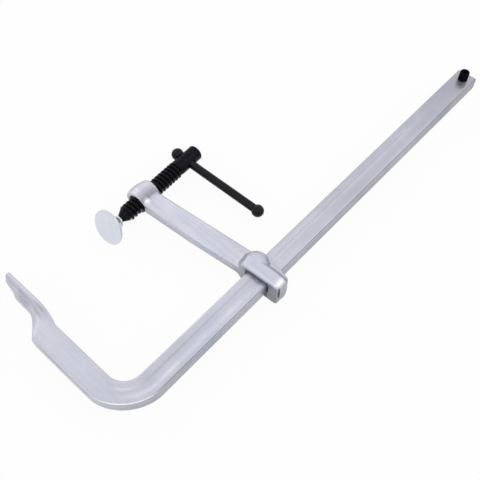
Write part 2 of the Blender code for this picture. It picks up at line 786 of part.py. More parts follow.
def build_tommy_bar(parts, spindle_frame, material):
    slide = bpy.data.objects.new("tommy_slide", None)
    parts.objects.link(slide)
    slide.parent = spindle_frame
    slide.location = (0.0, 0.0, TOMMY_AT)
    # The bar's own Z runs out of the head towards its far ball.
    slide.rotation_euler = (math.pi / 2, 0.0, TOMMY_TURN)
    radius = TOMMY_DIAMETER / 2
    ball = TOMMY_BALL_DIAMETER / 2
    spigot = TOMMY_SPIGOT / 2
    flat = math.sqrt(ball ** 2 - radius ** 2)
    near = -TOMMY_SEATED
    far = near + TOMMY_BALL_SPAN
    shoulder = flat + CLEARANCE
    reach = shoulder - TOMMY_SPIGOT_LENGTH
    profile = [
        (0.0, far - reach),
        (spigot, far - reach),
        (spigot, far - shoulder),
        (radius, far - shoulder),
        (radius, near + shoulder),
        (spigot, near + shoulder),
        (spigot, near + reach),
        (0.0, near + reach),
    ]
    bar = turned("tommy_bar", profile, SMALL_ROUND_STEPS, parts, slide)
    finish(bar, material)
    hole = spigot + CLEARANCE
    top_angle = math.acos(radius / ball)
    outline = [(0.0, reach - CLEARANCE), (hole, reach - CLEARANCE), (hole, flat)]
    outline += arc((0.0, 0.0), ball, top_angle, -math.pi / 2, 9)[:-1] + [(0.0, -ball)]
    for name, place, turn in (("tommy_ball_near", near, 0.0), ("tommy_ball_far", far, math.pi)):
        end = turned(name, outline, SMALL_ROUND_STEPS, parts, slide)
        end.location = (0.0, 0.0, place)
        end.rotation_euler = (turn, 0.0, 0.0)
        finish(end, material)


def main():
    clear_scene()
    parts = new_collection("f_clamp")
    cutters = new_collection("cutters")
    steel = new_material("plated_steel", STEEL, 0.32, 1.0)
    bright = new_material("bright_plating", BRIGHT_STEEL, 0.22, 1.0)
    black = new_material("black_oxide", BLACK, 0.42, 0.6)
    build_rail(parts, cutters, steel)
    build_stop_screw(parts, cutters, black)
    carrier = new_object("arm_carrier", None, parts)
    carrier.location = (ARM_AT, RAIL_LINE, 0.0)
    carrier.rotation_euler = (0.0, 0.0, ARM_CANT)
    # The spindle's own Z runs along it, away from the fixed jaw.
    spindle_frame = new_object("spindle_frame", None, parts, carrier)
    spindle_frame.location = (0.0, SPINDLE_LINE, 0.0)
    spindle_frame.rotation_euler = (0.0, math.pi / 2, 0.0)
    build_sliding_arm(parts, cutters, carrier, spindle_frame, steel)
    build_spindle(parts, cutters, spindle_frame, black)
    build_snap_ring(parts, spindle_frame, bright)
    build_pressure_pad(parts, spindle_frame, bright)
    build_tommy_bar(parts, spindle_frame, black)


main()
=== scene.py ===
"""An all-steel f-clamp lying on its side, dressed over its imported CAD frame."""

import math

import bmesh
import bpy
import numpy as np
from mathutils import Matrix, Vector


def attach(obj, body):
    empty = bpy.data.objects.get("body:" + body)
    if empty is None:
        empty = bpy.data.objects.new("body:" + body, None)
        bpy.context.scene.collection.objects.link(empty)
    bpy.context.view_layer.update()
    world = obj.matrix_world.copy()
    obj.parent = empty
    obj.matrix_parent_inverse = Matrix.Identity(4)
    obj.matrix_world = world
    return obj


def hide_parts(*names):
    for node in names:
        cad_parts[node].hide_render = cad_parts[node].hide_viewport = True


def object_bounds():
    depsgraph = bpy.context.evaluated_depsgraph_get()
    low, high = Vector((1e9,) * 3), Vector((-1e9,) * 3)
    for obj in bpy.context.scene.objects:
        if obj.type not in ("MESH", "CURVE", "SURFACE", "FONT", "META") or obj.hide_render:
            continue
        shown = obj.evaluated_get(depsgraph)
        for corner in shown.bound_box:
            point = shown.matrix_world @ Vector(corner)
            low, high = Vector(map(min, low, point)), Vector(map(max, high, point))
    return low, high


X, Y, Z = 0, 1, 2

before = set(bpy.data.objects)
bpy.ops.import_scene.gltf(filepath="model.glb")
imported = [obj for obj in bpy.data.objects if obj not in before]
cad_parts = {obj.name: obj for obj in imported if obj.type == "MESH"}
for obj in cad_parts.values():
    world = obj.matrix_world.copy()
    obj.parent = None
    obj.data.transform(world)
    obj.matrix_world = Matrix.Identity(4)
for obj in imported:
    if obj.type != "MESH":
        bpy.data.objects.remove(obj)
cad_box = [[float(x) for x in corner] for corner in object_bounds()]
scene = bpy.context.scene
for name in ("Cube", "Light", "Camera"):
    if name in bpy.data.objects:
        bpy.data.objects.remove(bpy.data.objects[name])


# The clamp's frame: the arm leans by its slack, and the spindle lies across it.
THROAT = 0.120
RAIL_WIDTH = 0.0205
RAIL_THICK = 0.0130
COLLAR_LENGTH = 0.0212
COLLAR_AT = 0.1406
CANT = math.radians(2.8)
RAIL_LINE = -THROAT - RAIL_WIDTH / 2
SPINDLE_LINE = THROAT + RAIL_WIDTH / 2 + 0.5 * COLLAR_LENGTH * math.sin(CANT)
CARRIER = Matrix.Translation((COLLAR_AT, RAIL_LINE, 0.0)) @ Matrix.Rotation(CANT, 4, "Z")
SPINDLE = CARRIER @ Matrix.Translation((0.0, SPINDLE_LINE, 0.0)) @ Matrix.Rotation(math.pi / 2, 4, "Y")
NOSE_AT = -0.0418
TOMMY_AT = 0.0493
TOMMY_TURN = math.radians(3.3)
TOMMY = (SPINDLE @ Matrix.Translation((0.0, 0.0, TOMMY_AT)) @ Matrix.Rotation(TOMMY_TURN, 4, "Z")
         @ Matrix.Rotation(math.pi / 2, 4, "X"))
PAD_TURN = math.radians(19.4)
PAD = SPINDLE @ Matrix.Translation((0.0, 0.0, NOSE_AT)) @ Matrix.Rotation(PAD_TURN, 4, "Y")


# Nodes
class Net:
    """The nodes of a material or of the world, with short ways to add and join them."""

    def __init__(self, tree):
        self.nodes = tree.nodes
        self.links = tree.links
        self.nodes.clear()

    def feed(self, socket, value):
        """Joins an output to the socket, or sets a colour or a number on it."""
        if isinstance(value, tuple):
            socket.default_value = (*value, 1.0)
        elif isinstance(value, float):
            socket.default_value = value
        else:
            self.links.new(value, socket)

    def number(self, operation, *values):
        node = self.nodes.new("ShaderNodeMath")
        node.operation = operation
        for socket, value in zip(node.inputs, values):
            self.feed(socket, value)
        return node.outputs["Value"]

    def measured(self, operation, place, other=(0.0, 0.0, 0.0)):
        """A number from a place: its length, or its distance from another or its product with it."""
        node = self.nodes.new("ShaderNodeVectorMath")
        node.operation = operation
        self.links.new(place, node.inputs[0])
        node.inputs[1].default_value = other
        return node.outputs["Value"]

    def ramp(self, source, stops):
        node = self.nodes.new("ShaderNodeValToRGB")
        elements = node.color_ramp.elements
        while len(elements) < len(stops):
            elements.new(0.5)
        for element, (place, shade) in zip(elements, stops):
            element.position = place
            element.color = (shade, shade, shade, 1.0)
        self.links.new(source, node.inputs["Fac"])
        return node.outputs["Color"]

    def noise(self, place, scale, detail, rough, stretch=(1.0, 1.0, 1.0)):
        mapping = self.nodes.new("ShaderNodeMapping")
        mapping.inputs["Scale"].default_value = stretch
        self.links.new(place, mapping.inputs["Vector"])
        texture = self.nodes.new("ShaderNodeTexNoise")
        texture.inputs["Scale"].default_value = scale
        texture.inputs["Detail"].default_value = detail
        texture.inputs["Roughness"].default_value = rough
        self.links.new(mapping.outputs["Vector"], texture.inputs["Vector"])
        return texture.outputs["Fac"]

    def blend(self, share, low, high, mode="MIX"):
        node = self.nodes.new("ShaderNodeMix")
        node.data_type = "RGBA"
        node.blend_type = mode
        for socket, value in ((node.inputs[0], share), (node.inputs[6], low), (node.inputs[7], high)):
            self.feed(socket, value)
        return node.outputs[2]

    def times(self, colour, *shades):
        for shade in shades:
            colour = self.blend(1.0, colour, shade, "MULTIPLY")
        return colour

    def axes(self, vector):
        split = self.nodes.new("ShaderNodeSeparateXYZ")
        self.links.new(vector, split.inputs["Vector"])
        return split.outputs["X"], split.outputs["Y"], split.outputs["Z"]

    def along(self, place, axis, low, high, stops):
        """A ramp over the place along one axis."""
        along = self.nodes.new("ShaderNodeMapRange")
        along.inputs["From Min"].default_value = low
        along.inputs["From Max"].default_value = high
        self.links.new(self.axes(place)[axis], along.inputs["Value"])
        return self.ramp(along.outputs["Result"], stops)

    def hollows(self, reach, stops):
        """Painted shade in the hollows: how much of a small dome the surface fills itself."""
        node = self.nodes.new("ShaderNodeAmbientOcclusion")
        node.samples = 8
        node.only_local = True
        node.inputs["Distance"].default_value = reach
        return self.ramp(node.outputs["AO"], stops)

    def bumped(self, strength, distance, height):
        node = self.nodes.new("ShaderNodeBump")
        node.inputs["Strength"].default_value = strength
        node.inputs["Distance"].default_value = distance
        self.links.new(height, node.inputs["Height"])
        return node.outputs["Normal"]

    def mixed(self, share, first, second):
        node = self.nodes.new("ShaderNodeMixShader")
        for socket, output in zip(node.inputs, (share, first, second)):
            self.links.new(output, socket)
        return node.outputs["Shader"]


def new_material(name):
    material = bpy.data.materials.new(name)
    material.use_nodes = True
    return material, Net(material.node_tree)


def new_surface(name):
    material, net = new_material(name)
    out = net.nodes.new("ShaderNodeOutputMaterial")
    shader = net.nodes.new("ShaderNodeBsdfPrincipled")
    net.links.new(shader.outputs["BSDF"], out.inputs["Surface"])
    return material, net, shader


# Materials. A ramp is a row of (place, shade) stops.
class Plating:
    """Zinc plating over forged steel: a clouded colour with drawn lines, with painted light and shade laid
    on layer by layer.
    """

    def __init__(self, name, light, dark, streak, marks=((0.30, 0.90), (0.50, 0.99), (0.70, 1.04)),
                 arm_streak=None):
        self.material, self.net, self.shader = new_surface(name)
        coordinates = self.net.nodes.new("ShaderNodeTexCoord")
        self.place = coordinates.outputs["Object"]
        out_x, out_y, out_z = self.net.axes(coordinates.outputs["Normal"])
        self.facings = [self.net.number("MULTIPLY_ADD", out, 0.5, 0.5) for out in (out_x, out_y)]
        self.flatness = self.net.number("ABSOLUTE", out_z)
        self.cloud = self.net.noise(self.place, 46.0, 4.0, 0.6)
        self.speck = self.net.noise(self.place, 900.0, 2.0, 0.5)
        self.lines = self.net.noise(self.place, 300.0, 3.0, 0.6, streak)
        if arm_streak:
            on_rail = self.along(X, -0.002, 0.012, ((0.0, 0.0), (1.0, 1.0)))
            on_arm = self.net.noise(self.place, 300.0, 3.0, 0.6, arm_streak)
            self.lines = self.net.blend(on_rail, on_arm, self.lines)
        self.colour = self.net.blend(self.net.ramp(self.cloud, ((0.36, 0.0), (0.66, 1.0))), light, dark)
        self.shade(self.net.ramp(self.speck, ((0.3, 0.93), (0.7, 1.0))), self.net.ramp(self.lines, marks))

    def along(self, axis, low, high, stops):
        return self.net.along(self.place, axis, low, high, stops)

    def facing(self, axis, stops):
        """A ramp from faces that look down the axis to faces that look up it."""
        return self.net.ramp(self.facings[axis], stops)

    def level(self, stops):
        """A ramp from upright faces to flat ones."""
        return self.net.ramp(self.flatness, stops)

    def shade(self, *factors, where=None):
        """Darkens or lightens the colour, all over or where a mask lies."""
        shaded = self.net.times(self.colour, *factors)
        self.colour = shaded if where is None else self.net.blend(where, self.colour, shaded)

    def paint(self, colour, where):
        self.colour = self.net.blend(where, self.colour, colour)

    # Painted light and shade on the upright faces.
    def paint_flank_shade(self, *factors):
        self.shade(*factors, where=self.level(((0.15, 1.0), (0.45, 0.0))))

    # Painted light and shade on the rounded corners.
    def paint_corner_light_and_shade(self, factor, levels=(0.30, 0.42, 0.86, 0.94), zone=None):
        corner = self.level(tuple(zip(levels, (0.0, 1.0, 1.0, 0.0))))
        self.shade(factor, where=corner if zone is None else self.net.times(corner, zone))

    # Painted shade in the hollows.
    def paint_hollow_shade(self, stops=((0.30, 0.45), (0.86, 1.0))):
        self.shade(self.net.hollows(0.004, stops))

    def paint_shading_stroke(self, start, stop, wide, deep):
        """A soft long spot of painted shade over the clamp's wide faces, or of painted light where deep is
        above 1.
        """
        lie = self.net.nodes.new("ShaderNodeMapping")
        lie.vector_type = "TEXTURE"
        lie.inputs["Location"].default_value = ((start[0] + stop[0]) / 2, (start[1] + stop[1]) / 2, 0.0)
        lie.inputs["Rotation"].default_value = (0.0, 0.0, math.atan2(stop[1] - start[1], stop[0] - start[0]))
        lie.inputs["Scale"].default_value = (math.dist(start, stop) / 2, wide / 2, 1.0)
        self.net.links.new(self.place, lie.inputs["Vector"])
        away = self.net.measured("LENGTH", lie.outputs["Vector"])
        self.shade(self.net.ramp(away, ((0.15, deep), (1.0, 1.0))))

    def finished(self, rough, grain):
        roughness = self.net.ramp(self.cloud, ((0.3, rough - 0.05), (0.7, rough + 0.07)))
        height = self.net.blend(0.5, self.speck, self.lines)
        self.net.feed(self.shader.inputs["Base Color"], self.colour)
        self.net.feed(self.shader.inputs["Metallic"], 0.7)
        self.net.feed(self.shader.inputs["Roughness"], roughness)
        self.net.feed(self.shader.inputs["Normal"], self.net.bumped(grain, 0.0003, height))
        return self.material


LAVENDER = ((0.660, 0.652, 0.742), (0.585, 0.604, 0.700))
PALE = ((0.772, 0.798, 0.872), (0.745, 0.768, 0.845))
WIRE = ((0.50, 0.50, 0.54), (0.42, 0.42, 0.46))
BEND_HIGHLIGHT = (0.93, 0.93, 0.96)
GLINT = (1.0, 1.0, 1.0)
SLOT_SHADE = (0.012, 0.012, 0.015)
EVEN_SHADE = ((0.0, 0.80), (1.0, 0.80))
# Soft strokes of painted shade on the jaw, in place of shallow forging hollows, and of painted light and
# shade on the fixed arm and the bend: ends, width, shade.
PAINTED_SHADING_STROKES = (
    ((-0.0047, -0.0120), (-0.0096, -0.0340), 0.0026, 0.68),
    ((-0.0030, -0.0130), (-0.0040, -0.0360), 0.0026, 0.70),
    ((-0.0050, 0.0230), (-0.0050, -0.0130), 0.0010, 0.76),
    ((-0.0125, -0.0600), (-0.0125, -0.1080), 0.0400, 1.05),
    ((0.0040, -0.1240), (0.0200, -0.1300), 0.0280, 0.95),
)
# Small painted glints, white highlights on the arm's boss and on the collar's end, placed in the arm's own
# frame.
GLINTS = ((-0.0100, 0.1227, 0.0062), (-0.0067, -0.0180, 0.0123), (-0.0028, -0.0181, 0.0125))


def rail_plating():
    steel = Plating("rail_plating", *LAVENDER, streak=(0.03, 1.0, 1.0), arm_streak=(1.0, 0.03, 1.0),
                    marks=((0.30, 0.94), (0.50, 0.99), (0.70, 1.03)))
    net = steel.net
    off_jaw = steel.along(Y, -0.06, -0.02, ((0.10, 1.0), (0.35, 0.0)))
    # Painted shade on the upright faces, with painted bands of light and shade across the rail's thickness.
    steel.paint_flank_shade(
        steel.facing(X, ((0.0, 0.93), (0.10, 0.90), (0.30, 0.74), (0.50, 0.70), (1.0, 0.80))),
        steel.along(Z, -RAIL_THICK / 2, RAIL_THICK / 2, (
            (0.0, 0.80), (0.12, 0.96), (0.30, 0.98), (0.42, 0.86), (0.52, 1.02), (0.70, 1.04),
            (0.76, 0.84), (0.84, 1.14), (0.92, 1.10), (1.0, 0.80))))
    # Painted light and shade on the rounded corners, away from the jaw.
    steel.paint_corner_light_and_shade(
        steel.facing(X, ((0.0, 0.46), (0.20, 0.52), (0.26, 1.12), (0.33, 1.12), (0.40, 0.98), (0.50, 0.94),
                         (1.0, 0.86))),
        levels=(0.22, 0.32, 0.94, 0.98), zone=off_jaw)
    # Painted shade in the hollows.
    steel.paint_hollow_shade()
    # Painted shade on slopes that face -Y, away from the jaw.
    steel.shade(steel.facing(Y, ((0.24, 1.0), (0.30, 0.98), (0.38, 0.97), (0.44, 0.99), (0.50, 1.0))),
                where=off_jaw)
    # Painted shade, deepening towards the rail's free end.
    steel.shade(steel.along(X, 0.0, 0.45, ((0.0, 0.93), (0.08, 0.92), (0.20, 1.0), (0.44, 0.91),
                                           (0.57, 0.82), (0.74, 0.85), (0.93, 0.70))))
    # Painted shade across the groove on the top faces.
    grooved = steel.along(X, 0.0, 0.40, ((0.0, 0.0), (0.06, 1.0), (0.88, 1.0), (0.94, 0.0)))
    on_top = steel.level(((0.70, 0.0), (0.85, 1.0)))
    painted_groove_shade = ((0.0, 1.0), (0.14, 0.90), (0.28, 0.83), (0.40, 0.84), (0.62, 0.97), (1.0, 1.0))
    steel.shade(steel.along(Y, -0.1255, -0.1305, painted_groove_shade), where=net.times(grooved, on_top))
    for stroke in PAINTED_SHADING_STROKES:
        steel.paint_shading_stroke(*stroke)
    # A painted highlight in a strip round the outside of the bend, and a painted dark line of shade along
    # the rail's outer corner
    outward = net.measured("DOT_PRODUCT", steel.place, (-math.sqrt(0.5), -math.sqrt(0.5), 0.0))
    round_bend = net.ramp(outward, ((0.0910, 0.0), (0.0960, 1.0)))
    on_chamfer = steel.level(((0.42, 0.0), (0.52, 1.0), (0.90, 1.0), (0.96, 0.0)))
    steel.paint(BEND_HIGHLIGHT, net.times(round_bend, on_chamfer))
    line = net.times(
        steel.level(((0.80, 0.0), (0.86, 1.0), (0.97, 1.0), (0.99, 0.0))),
        steel.facing(Y, ((0.42, 1.0), (0.46, 0.0))),
        steel.along(X, 0.0, 0.02, ((0.2, 0.0), (0.8, 1.0))),
        steel.along(Y, -0.1390, -0.1370, ((0.0, 1.0), (1.0, 0.0))))
    steel.shade(net.ramp(line, ((0.0, 1.0), (1.0, 0.35))))
    return steel.finished(0.34, 0.06)


def arm_plating():
    steel = Plating("arm_plating", *LAVENDER, streak=(1.0, 0.06, 1.0),
                    marks=((0.30, 0.92), (0.50, 1.02), (0.70, 1.08)))
    net = steel.net
    # Painted shade on the upright faces, deepest on the collar's -X face, with painted bands of light and
    # shade across their height.
    steel.paint_flank_shade(
        steel.facing(X, ((0.0, 0.84), (0.50, 0.74), (1.0, 0.80))),
        steel.along(Y, -0.16, -0.09, ((0.0, 0.92), (0.132, 0.90), (0.15, 0.54), (0.26, 0.50),
                                      (0.32, 0.68), (0.60, 0.64), (0.82, 1.0))),
        steel.along(Z, -0.0065, 0.0065, ((0.05, 0.90), (0.20, 0.84), (0.34, 1.0), (0.48, 0.90),
                                         (0.60, 0.98), (0.74, 1.08), (0.88, 1.0))))
    # Painted light and shade on the rounded corners, by the way they face.
    steel.paint_corner_light_and_shade(
        steel.facing(X, ((0.0, 0.84), (0.08, 1.05), (0.30, 1.08), (0.42, 0.84), (1.0, 0.82))))
    # Painted shade in the hollows.
    steel.paint_hollow_shade(((0.32, 0.30), (0.86, 1.0)))
    # Painted shade on the boss's slopes that face -Y.
    steel.shade(steel.facing(Y, ((0.20, 0.72), (0.39, 0.86), (0.43, 1.0), (0.60, 1.0))),
                where=steel.along(Y, -0.06, -0.02, ((0.75, 0.0), (0.90, 1.0))))
    # Painted shade on the collar's slopes, in the fillet round the hump.
    steel.shade(steel.facing(Y, ((0.06, 1.0), (0.16, 0.76), (0.34, 0.70), (0.45, 0.94), (0.54, 1.0),
                                 (0.68, 0.92), (0.84, 0.76), (1.0, 0.66))),
                where=steel.along(Y, -0.160, -0.085, ((0.0, 1.0), (0.88, 1.0), (1.0, 0.0))))
    # Painted shade on slopes that face +X.
    steel.shade(steel.facing(X, ((0.47, 1.02), (0.51, 1.0), (0.62, 0.92), (0.80, 0.86))))
    # Painted shade: black on the slot's flared mouth, where the gap to the rail lies dark
    off_middle = net.number("ABSOLUTE", net.axes(steel.place)[Z])
    steel.paint(SLOT_SHADE, net.times(
        net.ramp(off_middle, ((0.0086, 1.0), (0.0089, 0.0))),
        steel.along(Y, -0.1420, -0.1180, ((0.0, 0.0), (0.03, 1.0), (0.97, 1.0), (1.0, 0.0))),
        steel.facing(X, ((0.10, 1.0), (0.16, 0.0)))))
    # Painted highlights: small white spots.
    for glint in GLINTS:
        away = net.measured("DISTANCE", steel.place, CARRIER @ Vector(glint))
        steel.paint(GLINT, net.ramp(away, ((0.0004, 1.0), (0.0010, 0.0))))
    return steel.finished(0.36, 0.10)


def pad_plating():
    steel = Plating("pad_plating", *PALE, streak=(1.0, 1.0, 1.0),
                    marks=((0.30, 0.97), (0.50, 0.99), (0.70, 1.0)))
    # Painted shade on the pad's upright faces, corners and hollows, and on its rim and back, which turn away
    # from -X.
    steel.paint_flank_shade(steel.facing(X, ((0.0, 1.0), (1.0, 0.95))))
    steel.paint_corner_light_and_shade(steel.facing(X, ((0.0, 1.0), (1.0, 0.92))))
    steel.paint_hollow_shade()
    steel.shade(steel.facing(X, ((0.22, 1.0), (0.34, 0.86), (0.62, 0.86), (0.80, 0.95))))
    return steel.finished(0.28, 0.03)


def ring_wire():
    steel = Plating("ring_wire", *WIRE, streak=(1.0, 1.0, 1.0))
    # Painted shade, even over the wire's upright faces and rounded corners, and in its hollows.
    steel.paint_flank_shade(steel.facing(X, EVEN_SHADE))
    steel.paint_corner_light_and_shade(steel.facing(X, EVEN_SHADE))
    steel.paint_hollow_shade()
    return steel.finished(0.30, 0.05)


def black_oxide(name, gloss, wear_and_highlight_shade=0.042):
    """Oiled black steel, a little lighter on its sharp edges and crests, partly from wear and partly as
    painted highlight, with painted shade in its hollows.
    """
    material, net, shader = new_surface(name)
    place = net.nodes.new("ShaderNodeTexCoord").outputs["Object"]
    cloud = net.noise(place, 120.0, 4.0, 0.6)
    speck = net.noise(place, 1400.0, 2.0, 0.5)
    clouded = net.ramp(cloud, ((0.34, 0.0), (0.68, 1.0)))
    colour = net.blend(clouded, (0.0036, 0.0036, 0.0066), (0.0072, 0.0072, 0.0114))
    edge = net.nodes.new("ShaderNodeNewGeometry").outputs["Pointiness"]
    wear_and_highlight = net.ramp(edge, ((0.53, 0.0), (0.64, 0.5)))
    colour = net.blend(wear_and_highlight, colour, (wear_and_highlight_shade, wear_and_highlight_shade, 1.24 * wear_and_highlight_shade))
    # Painted shade in the hollows.
    colour = net.times(colour, net.hollows(0.003, ((0.30, 0.30), (0.86, 1.0))))
    net.feed(shader.inputs["Base Color"], colour)
    net.feed(shader.inputs["Metallic"], 0.0)
    net.feed(shader.inputs["Specular IOR Level"], gloss)
    net.feed(shader.inputs["Roughness"], net.ramp(cloud, ((0.3, 0.24), (0.7, 0.36))))
    net.feed(shader.inputs["Normal"], net.bumped(0.12, 0.0002, speck))
    return material


rail_steel = rail_plating()
arm_steel = arm_plating()
pad_steel = pad_plating()
ring_steel = ring_wire()
thread_steel = black_oxide("thread_oxide", 0.09, 0.060)
head_steel = black_oxide("head_oxide", 0.09)
knob_steel = black_oxide("knob_oxide", 0.19)
stop_steel = black_oxide("stop_oxide", 0.0, 0.012)

LOOKS = {
    "rail": rail_steel,
    "stop_screw": stop_steel,
    "sliding_arm": arm_steel,
    "spindle": head_steel,
    "tommy_bar": knob_steel,
    "tommy_ball_near": knob_steel,
    "tommy_ball_far": knob_steel,
    "pressure_pad": pad_steel,
    "pad_snap_ring": ring_steel,
}
for node, look in LOOKS.items():
    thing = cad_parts[node]
    thing.data.materials.clear()
    thing.data.materials.append(look)


# Shape helpers
def add_object(name, mesh, matrix=None):
    thing = bpy.data.objects.new(name, mesh)
    scene.collection.objects.link(thing)
    if matrix is not None:
        thing.matrix_world = matrix
    return thing


def mesh_from(name, bm):
    mesh = bpy.data.meshes.new(name)
    bm.to_mesh(mesh)
    bm.free()
    return mesh


def grid_mesh(name, rings, close_ends=True):
    """A skin through rings of points, each joined round; ends are closed by fans."""
    rings = np.asarray(rings, float)
    count, around = rings.shape[:2]
    i, j = np.meshgrid(np.arange(count - 1), np.arange(around), indexing="ij")
    k = (j + 1) % around
    faces = np.stack([i * around + j, i * around + k, (i + 1) * around + k, (i + 1) * around + j], -1)
    faces = [tuple(face) for face in faces.reshape(-1, 4).tolist()]
    points = rings.reshape(-1, 3).tolist()
    if close_ends:
        for ring, flip in ((0, True), (count - 1, False)):
            centre = len(points)
            points.append(rings[ring].mean(0).tolist())
            for a in range(around):
                pair = (ring * around + a, ring * around + (a + 1) % around)
                faces.append((*(reversed(pair) if flip else pair), centre))
    mesh = bpy.data.meshes.new(name)
    mesh.from_pydata(points, [], faces)
    bm = bmesh.new()
    bm.from_mesh(mesh)
    bmesh.ops.remove_doubles(bm, verts=bm.verts, dist=1e-7)
    bmesh.ops.recalc_face_normals(bm, faces=bm.faces)
    bm.to_mesh(mesh)
    bm.free()
    return mesh


def rings_round_z(radius, height, angles):
    """Rings of points about Z, from a grid of radii and a column of heights."""
    return np.stack([radius * np.cos(angles), radius * np.sin(angles),
                     np.repeat(height, len(angles), 1)], -1)


def round_angles(steps):
    return np.linspace(0, 2 * math.pi, steps, endpoint=False)


def turned_mesh(name, profile, steps):
    """A solid of revolution about Z, from (radius, height) points that start and end on the axis."""
    profile = np.asarray(profile, float)
    rings = rings_round_z(profile[:, :1], profile[:, 1:], round_angles(steps))
    return grid_mesh(name, rings, close_ends=False)


def rounded_profile(points, steps=5):
    """(radius, height, fillet) corners turned into a line with arcs at its corners."""
    line = []
    for index, (r, z, fillet) in enumerate(points):
        here = np.array((r, z), float)
        if fillet <= 0 or index in (0, len(points) - 1):
            line.append(tuple(here))
            continue
        before = np.array(points[index - 1][:2], float) - here
        after = np.array(points[index + 1][:2], float) - here
        reach = min(fillet, 0.49 * np.linalg.norm(before), 0.49 * np.linalg.norm(after))
        a = here + before / np.linalg.norm(before) * reach
        b = here + after / np.linalg.norm(after) * reach
        for t in np.linspace(0, 1, steps + 1):
            line.append(tuple((1 - t) ** 2 * a + 2 * t * (1 - t) * here + t * t * b))
    return line


def applied(thing):
    """The object with its modifiers made part of its mesh."""
    bpy.context.view_layer.update()
    graph = bpy.context.evaluated_depsgraph_get()
    mesh = bpy.data.meshes.new_from_object(thing.evaluated_get(graph))
    thing.modifiers.clear()
    thing.data = mesh
    return thing


def cut(thing, cutter):
    modifier = thing.modifiers.new("Cut", "BOOLEAN")
    modifier.operation = "DIFFERENCE"
    modifier.solver = "EXACT"
    modifier.object = cutter
    applied(thing)
    bpy.data.objects.remove(cutter)


def dressed(thing, look, body, nodes, angle=40.0):
    bpy.context.view_layer.update()
    thing.data.transform(thing.matrix_world)
    thing.matrix_world = Matrix.Identity(4)
    thing.data.materials.clear()
    thing.data.materials.append(look)
    thing.data.polygons.foreach_set("material_index", np.zeros(len(thing.data.polygons), np.int32))
    thing.data.shade_smooth()
    thing.data.set_sharp_from_angle(angle=math.radians(angle))
    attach(thing, body)
    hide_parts(*nodes)


def mix(low, high, share):
    return low + (high - low) * share


def eased(share):
    """A share that leaves 0 and reaches 1 gently."""
    return share * share * (3 - 2 * share)


# Rail with its bend and forged jaw
RAIL_REACH = 0.4496
RAIL_EDGE = 0.0012
RAIL_END_BEVEL = 0.0016
BEVEL_CORNER = 0.0002
GROOVE_DEPTH = 0.0010
GROOVE_SHARES = ((-0.192, 0.0), (-0.128, 0.58), (0.030, 1.0), (0.190, 0.55), (0.265, 0.0))
GROOVE_AT_ARM_SHARE = 0.25
GROOVE_GROWTH_SHARE = 1.5
FIXED_ARM_WIDTH = 0.0208
FIXED_ARM_FROM = -0.054
BEND_RADIUS = 0.0165
BEND_THINNING = 0.0019
BEND_STEPS = 12
JAW_PROUD = 0.0041
JAW_WIDTH = 0.0205
JAW_TIP = 0.0225
JAW_LENGTH = 0.0710
JAW_EDGE_THICK = 0.0041
JAW_EDGE = 0.0009
JAW_SPINE = 0.0106
JAW_SPINE_WIDTH = 0.0060
TIP_THICK = 0.0030
TIP_SPINE = 0.0044
TIP_WIDTH = 0.0090
TIP_SPINE_WIDTH = 0.0030
TIP_SHRINK_SHARE = 0.45
RIB_COUNT = 4
RIB_WIDTH = 0.0012
RIB_LENGTH = 0.0200
RIB_DEPTH = 0.0005
RIBS_AT = -0.0050
# From the arm to the jaw: the share of the length, then how far the front face, the height, the spine and
# the body have gone from the arm's form to the jaw's, then how flat the slope still is at three places.
JAW_ROW_SHARES = (
    (0.0, 0.0, 0.0, 0.0, 0.0, 1.0, 1.0, 1.0), (0.10, 0.0, 0.0, 0.0, 0.0, 1.0, 1.0, 1.0),
    (0.136, 0.16, 0.08, -0.06, 0.0, 1.0, 1.0, 1.0), (0.148, 0.24, 0.10, -0.07, 0.0, 1.0, 1.0, 1.0),
    (0.16, 0.32, 0.14, 0.02, 0.02, 1.0, 1.0, 1.0), (0.21, 0.58, 0.34, 0.18, 0.16, 1.0, 1.0, 0.9),
    (0.26, 0.76, 0.58, 0.39, 0.38, 1.0, 1.0, 0.6), (0.32, 0.90, 0.84, 0.62, 0.64, 1.0, 0.8, 0.25),
    (0.38, 0.98, 0.97, 0.84, 0.86, 0.7, 0.3, 0.0), (0.45, 1.0, 1.0, 0.99, 1.0, 0.15, 0.0, 0.0),
    (0.52, 1.0, 1.0, 1.0, 1.0, 0.0, 0.0, 0.0),
)
# On towards the tip: the share of the length, then how far the plate, the spine and the width have shrunk.
TIP_ROW_SHARES = (
    (0.70, 0.0, 0.0, 0.0), (0.752, 0.0, 0.10, 0.0), (0.772, 0.05, 0.32, 0.0), (0.84, 0.08, 0.44, 0.0),
    (0.90, 0.12, 0.56, 0.0), (0.945, 0.16, 0.64, 0.03), (0.966, 0.20, 0.68, 0.10), (0.979, 0.30, 0.72, 0.26),
    (0.986, 0.45, 0.76, 0.48),
)
BEND_CENTRE = Vector((BEND_RADIUS - JAW_PROUD, BEND_RADIUS - THROAT, 0.0))
# Along the straight rail: place and the share of the groove's depth, which fades out towards the free end.
RAIL_ROWS = (
    (BEND_CENTRE.x + 0.004, 1.0), (BEND_CENTRE.x + 0.012, 1.0), (BEND_CENTRE.x + 0.03, 1.0), (0.09, 1.0),
    (0.20, 1.0), (0.31, 1.0), (0.3576, 1.0), (0.3686, 0.5), (0.3796, 0.0), (0.40, 0.0), (0.43, 0.0),
    (0.443, 0.0),
)
BACKWARDS = (-1.0, 0.0, 0.0)
OUTWARDS = (0.0, -1.0, 0.0)


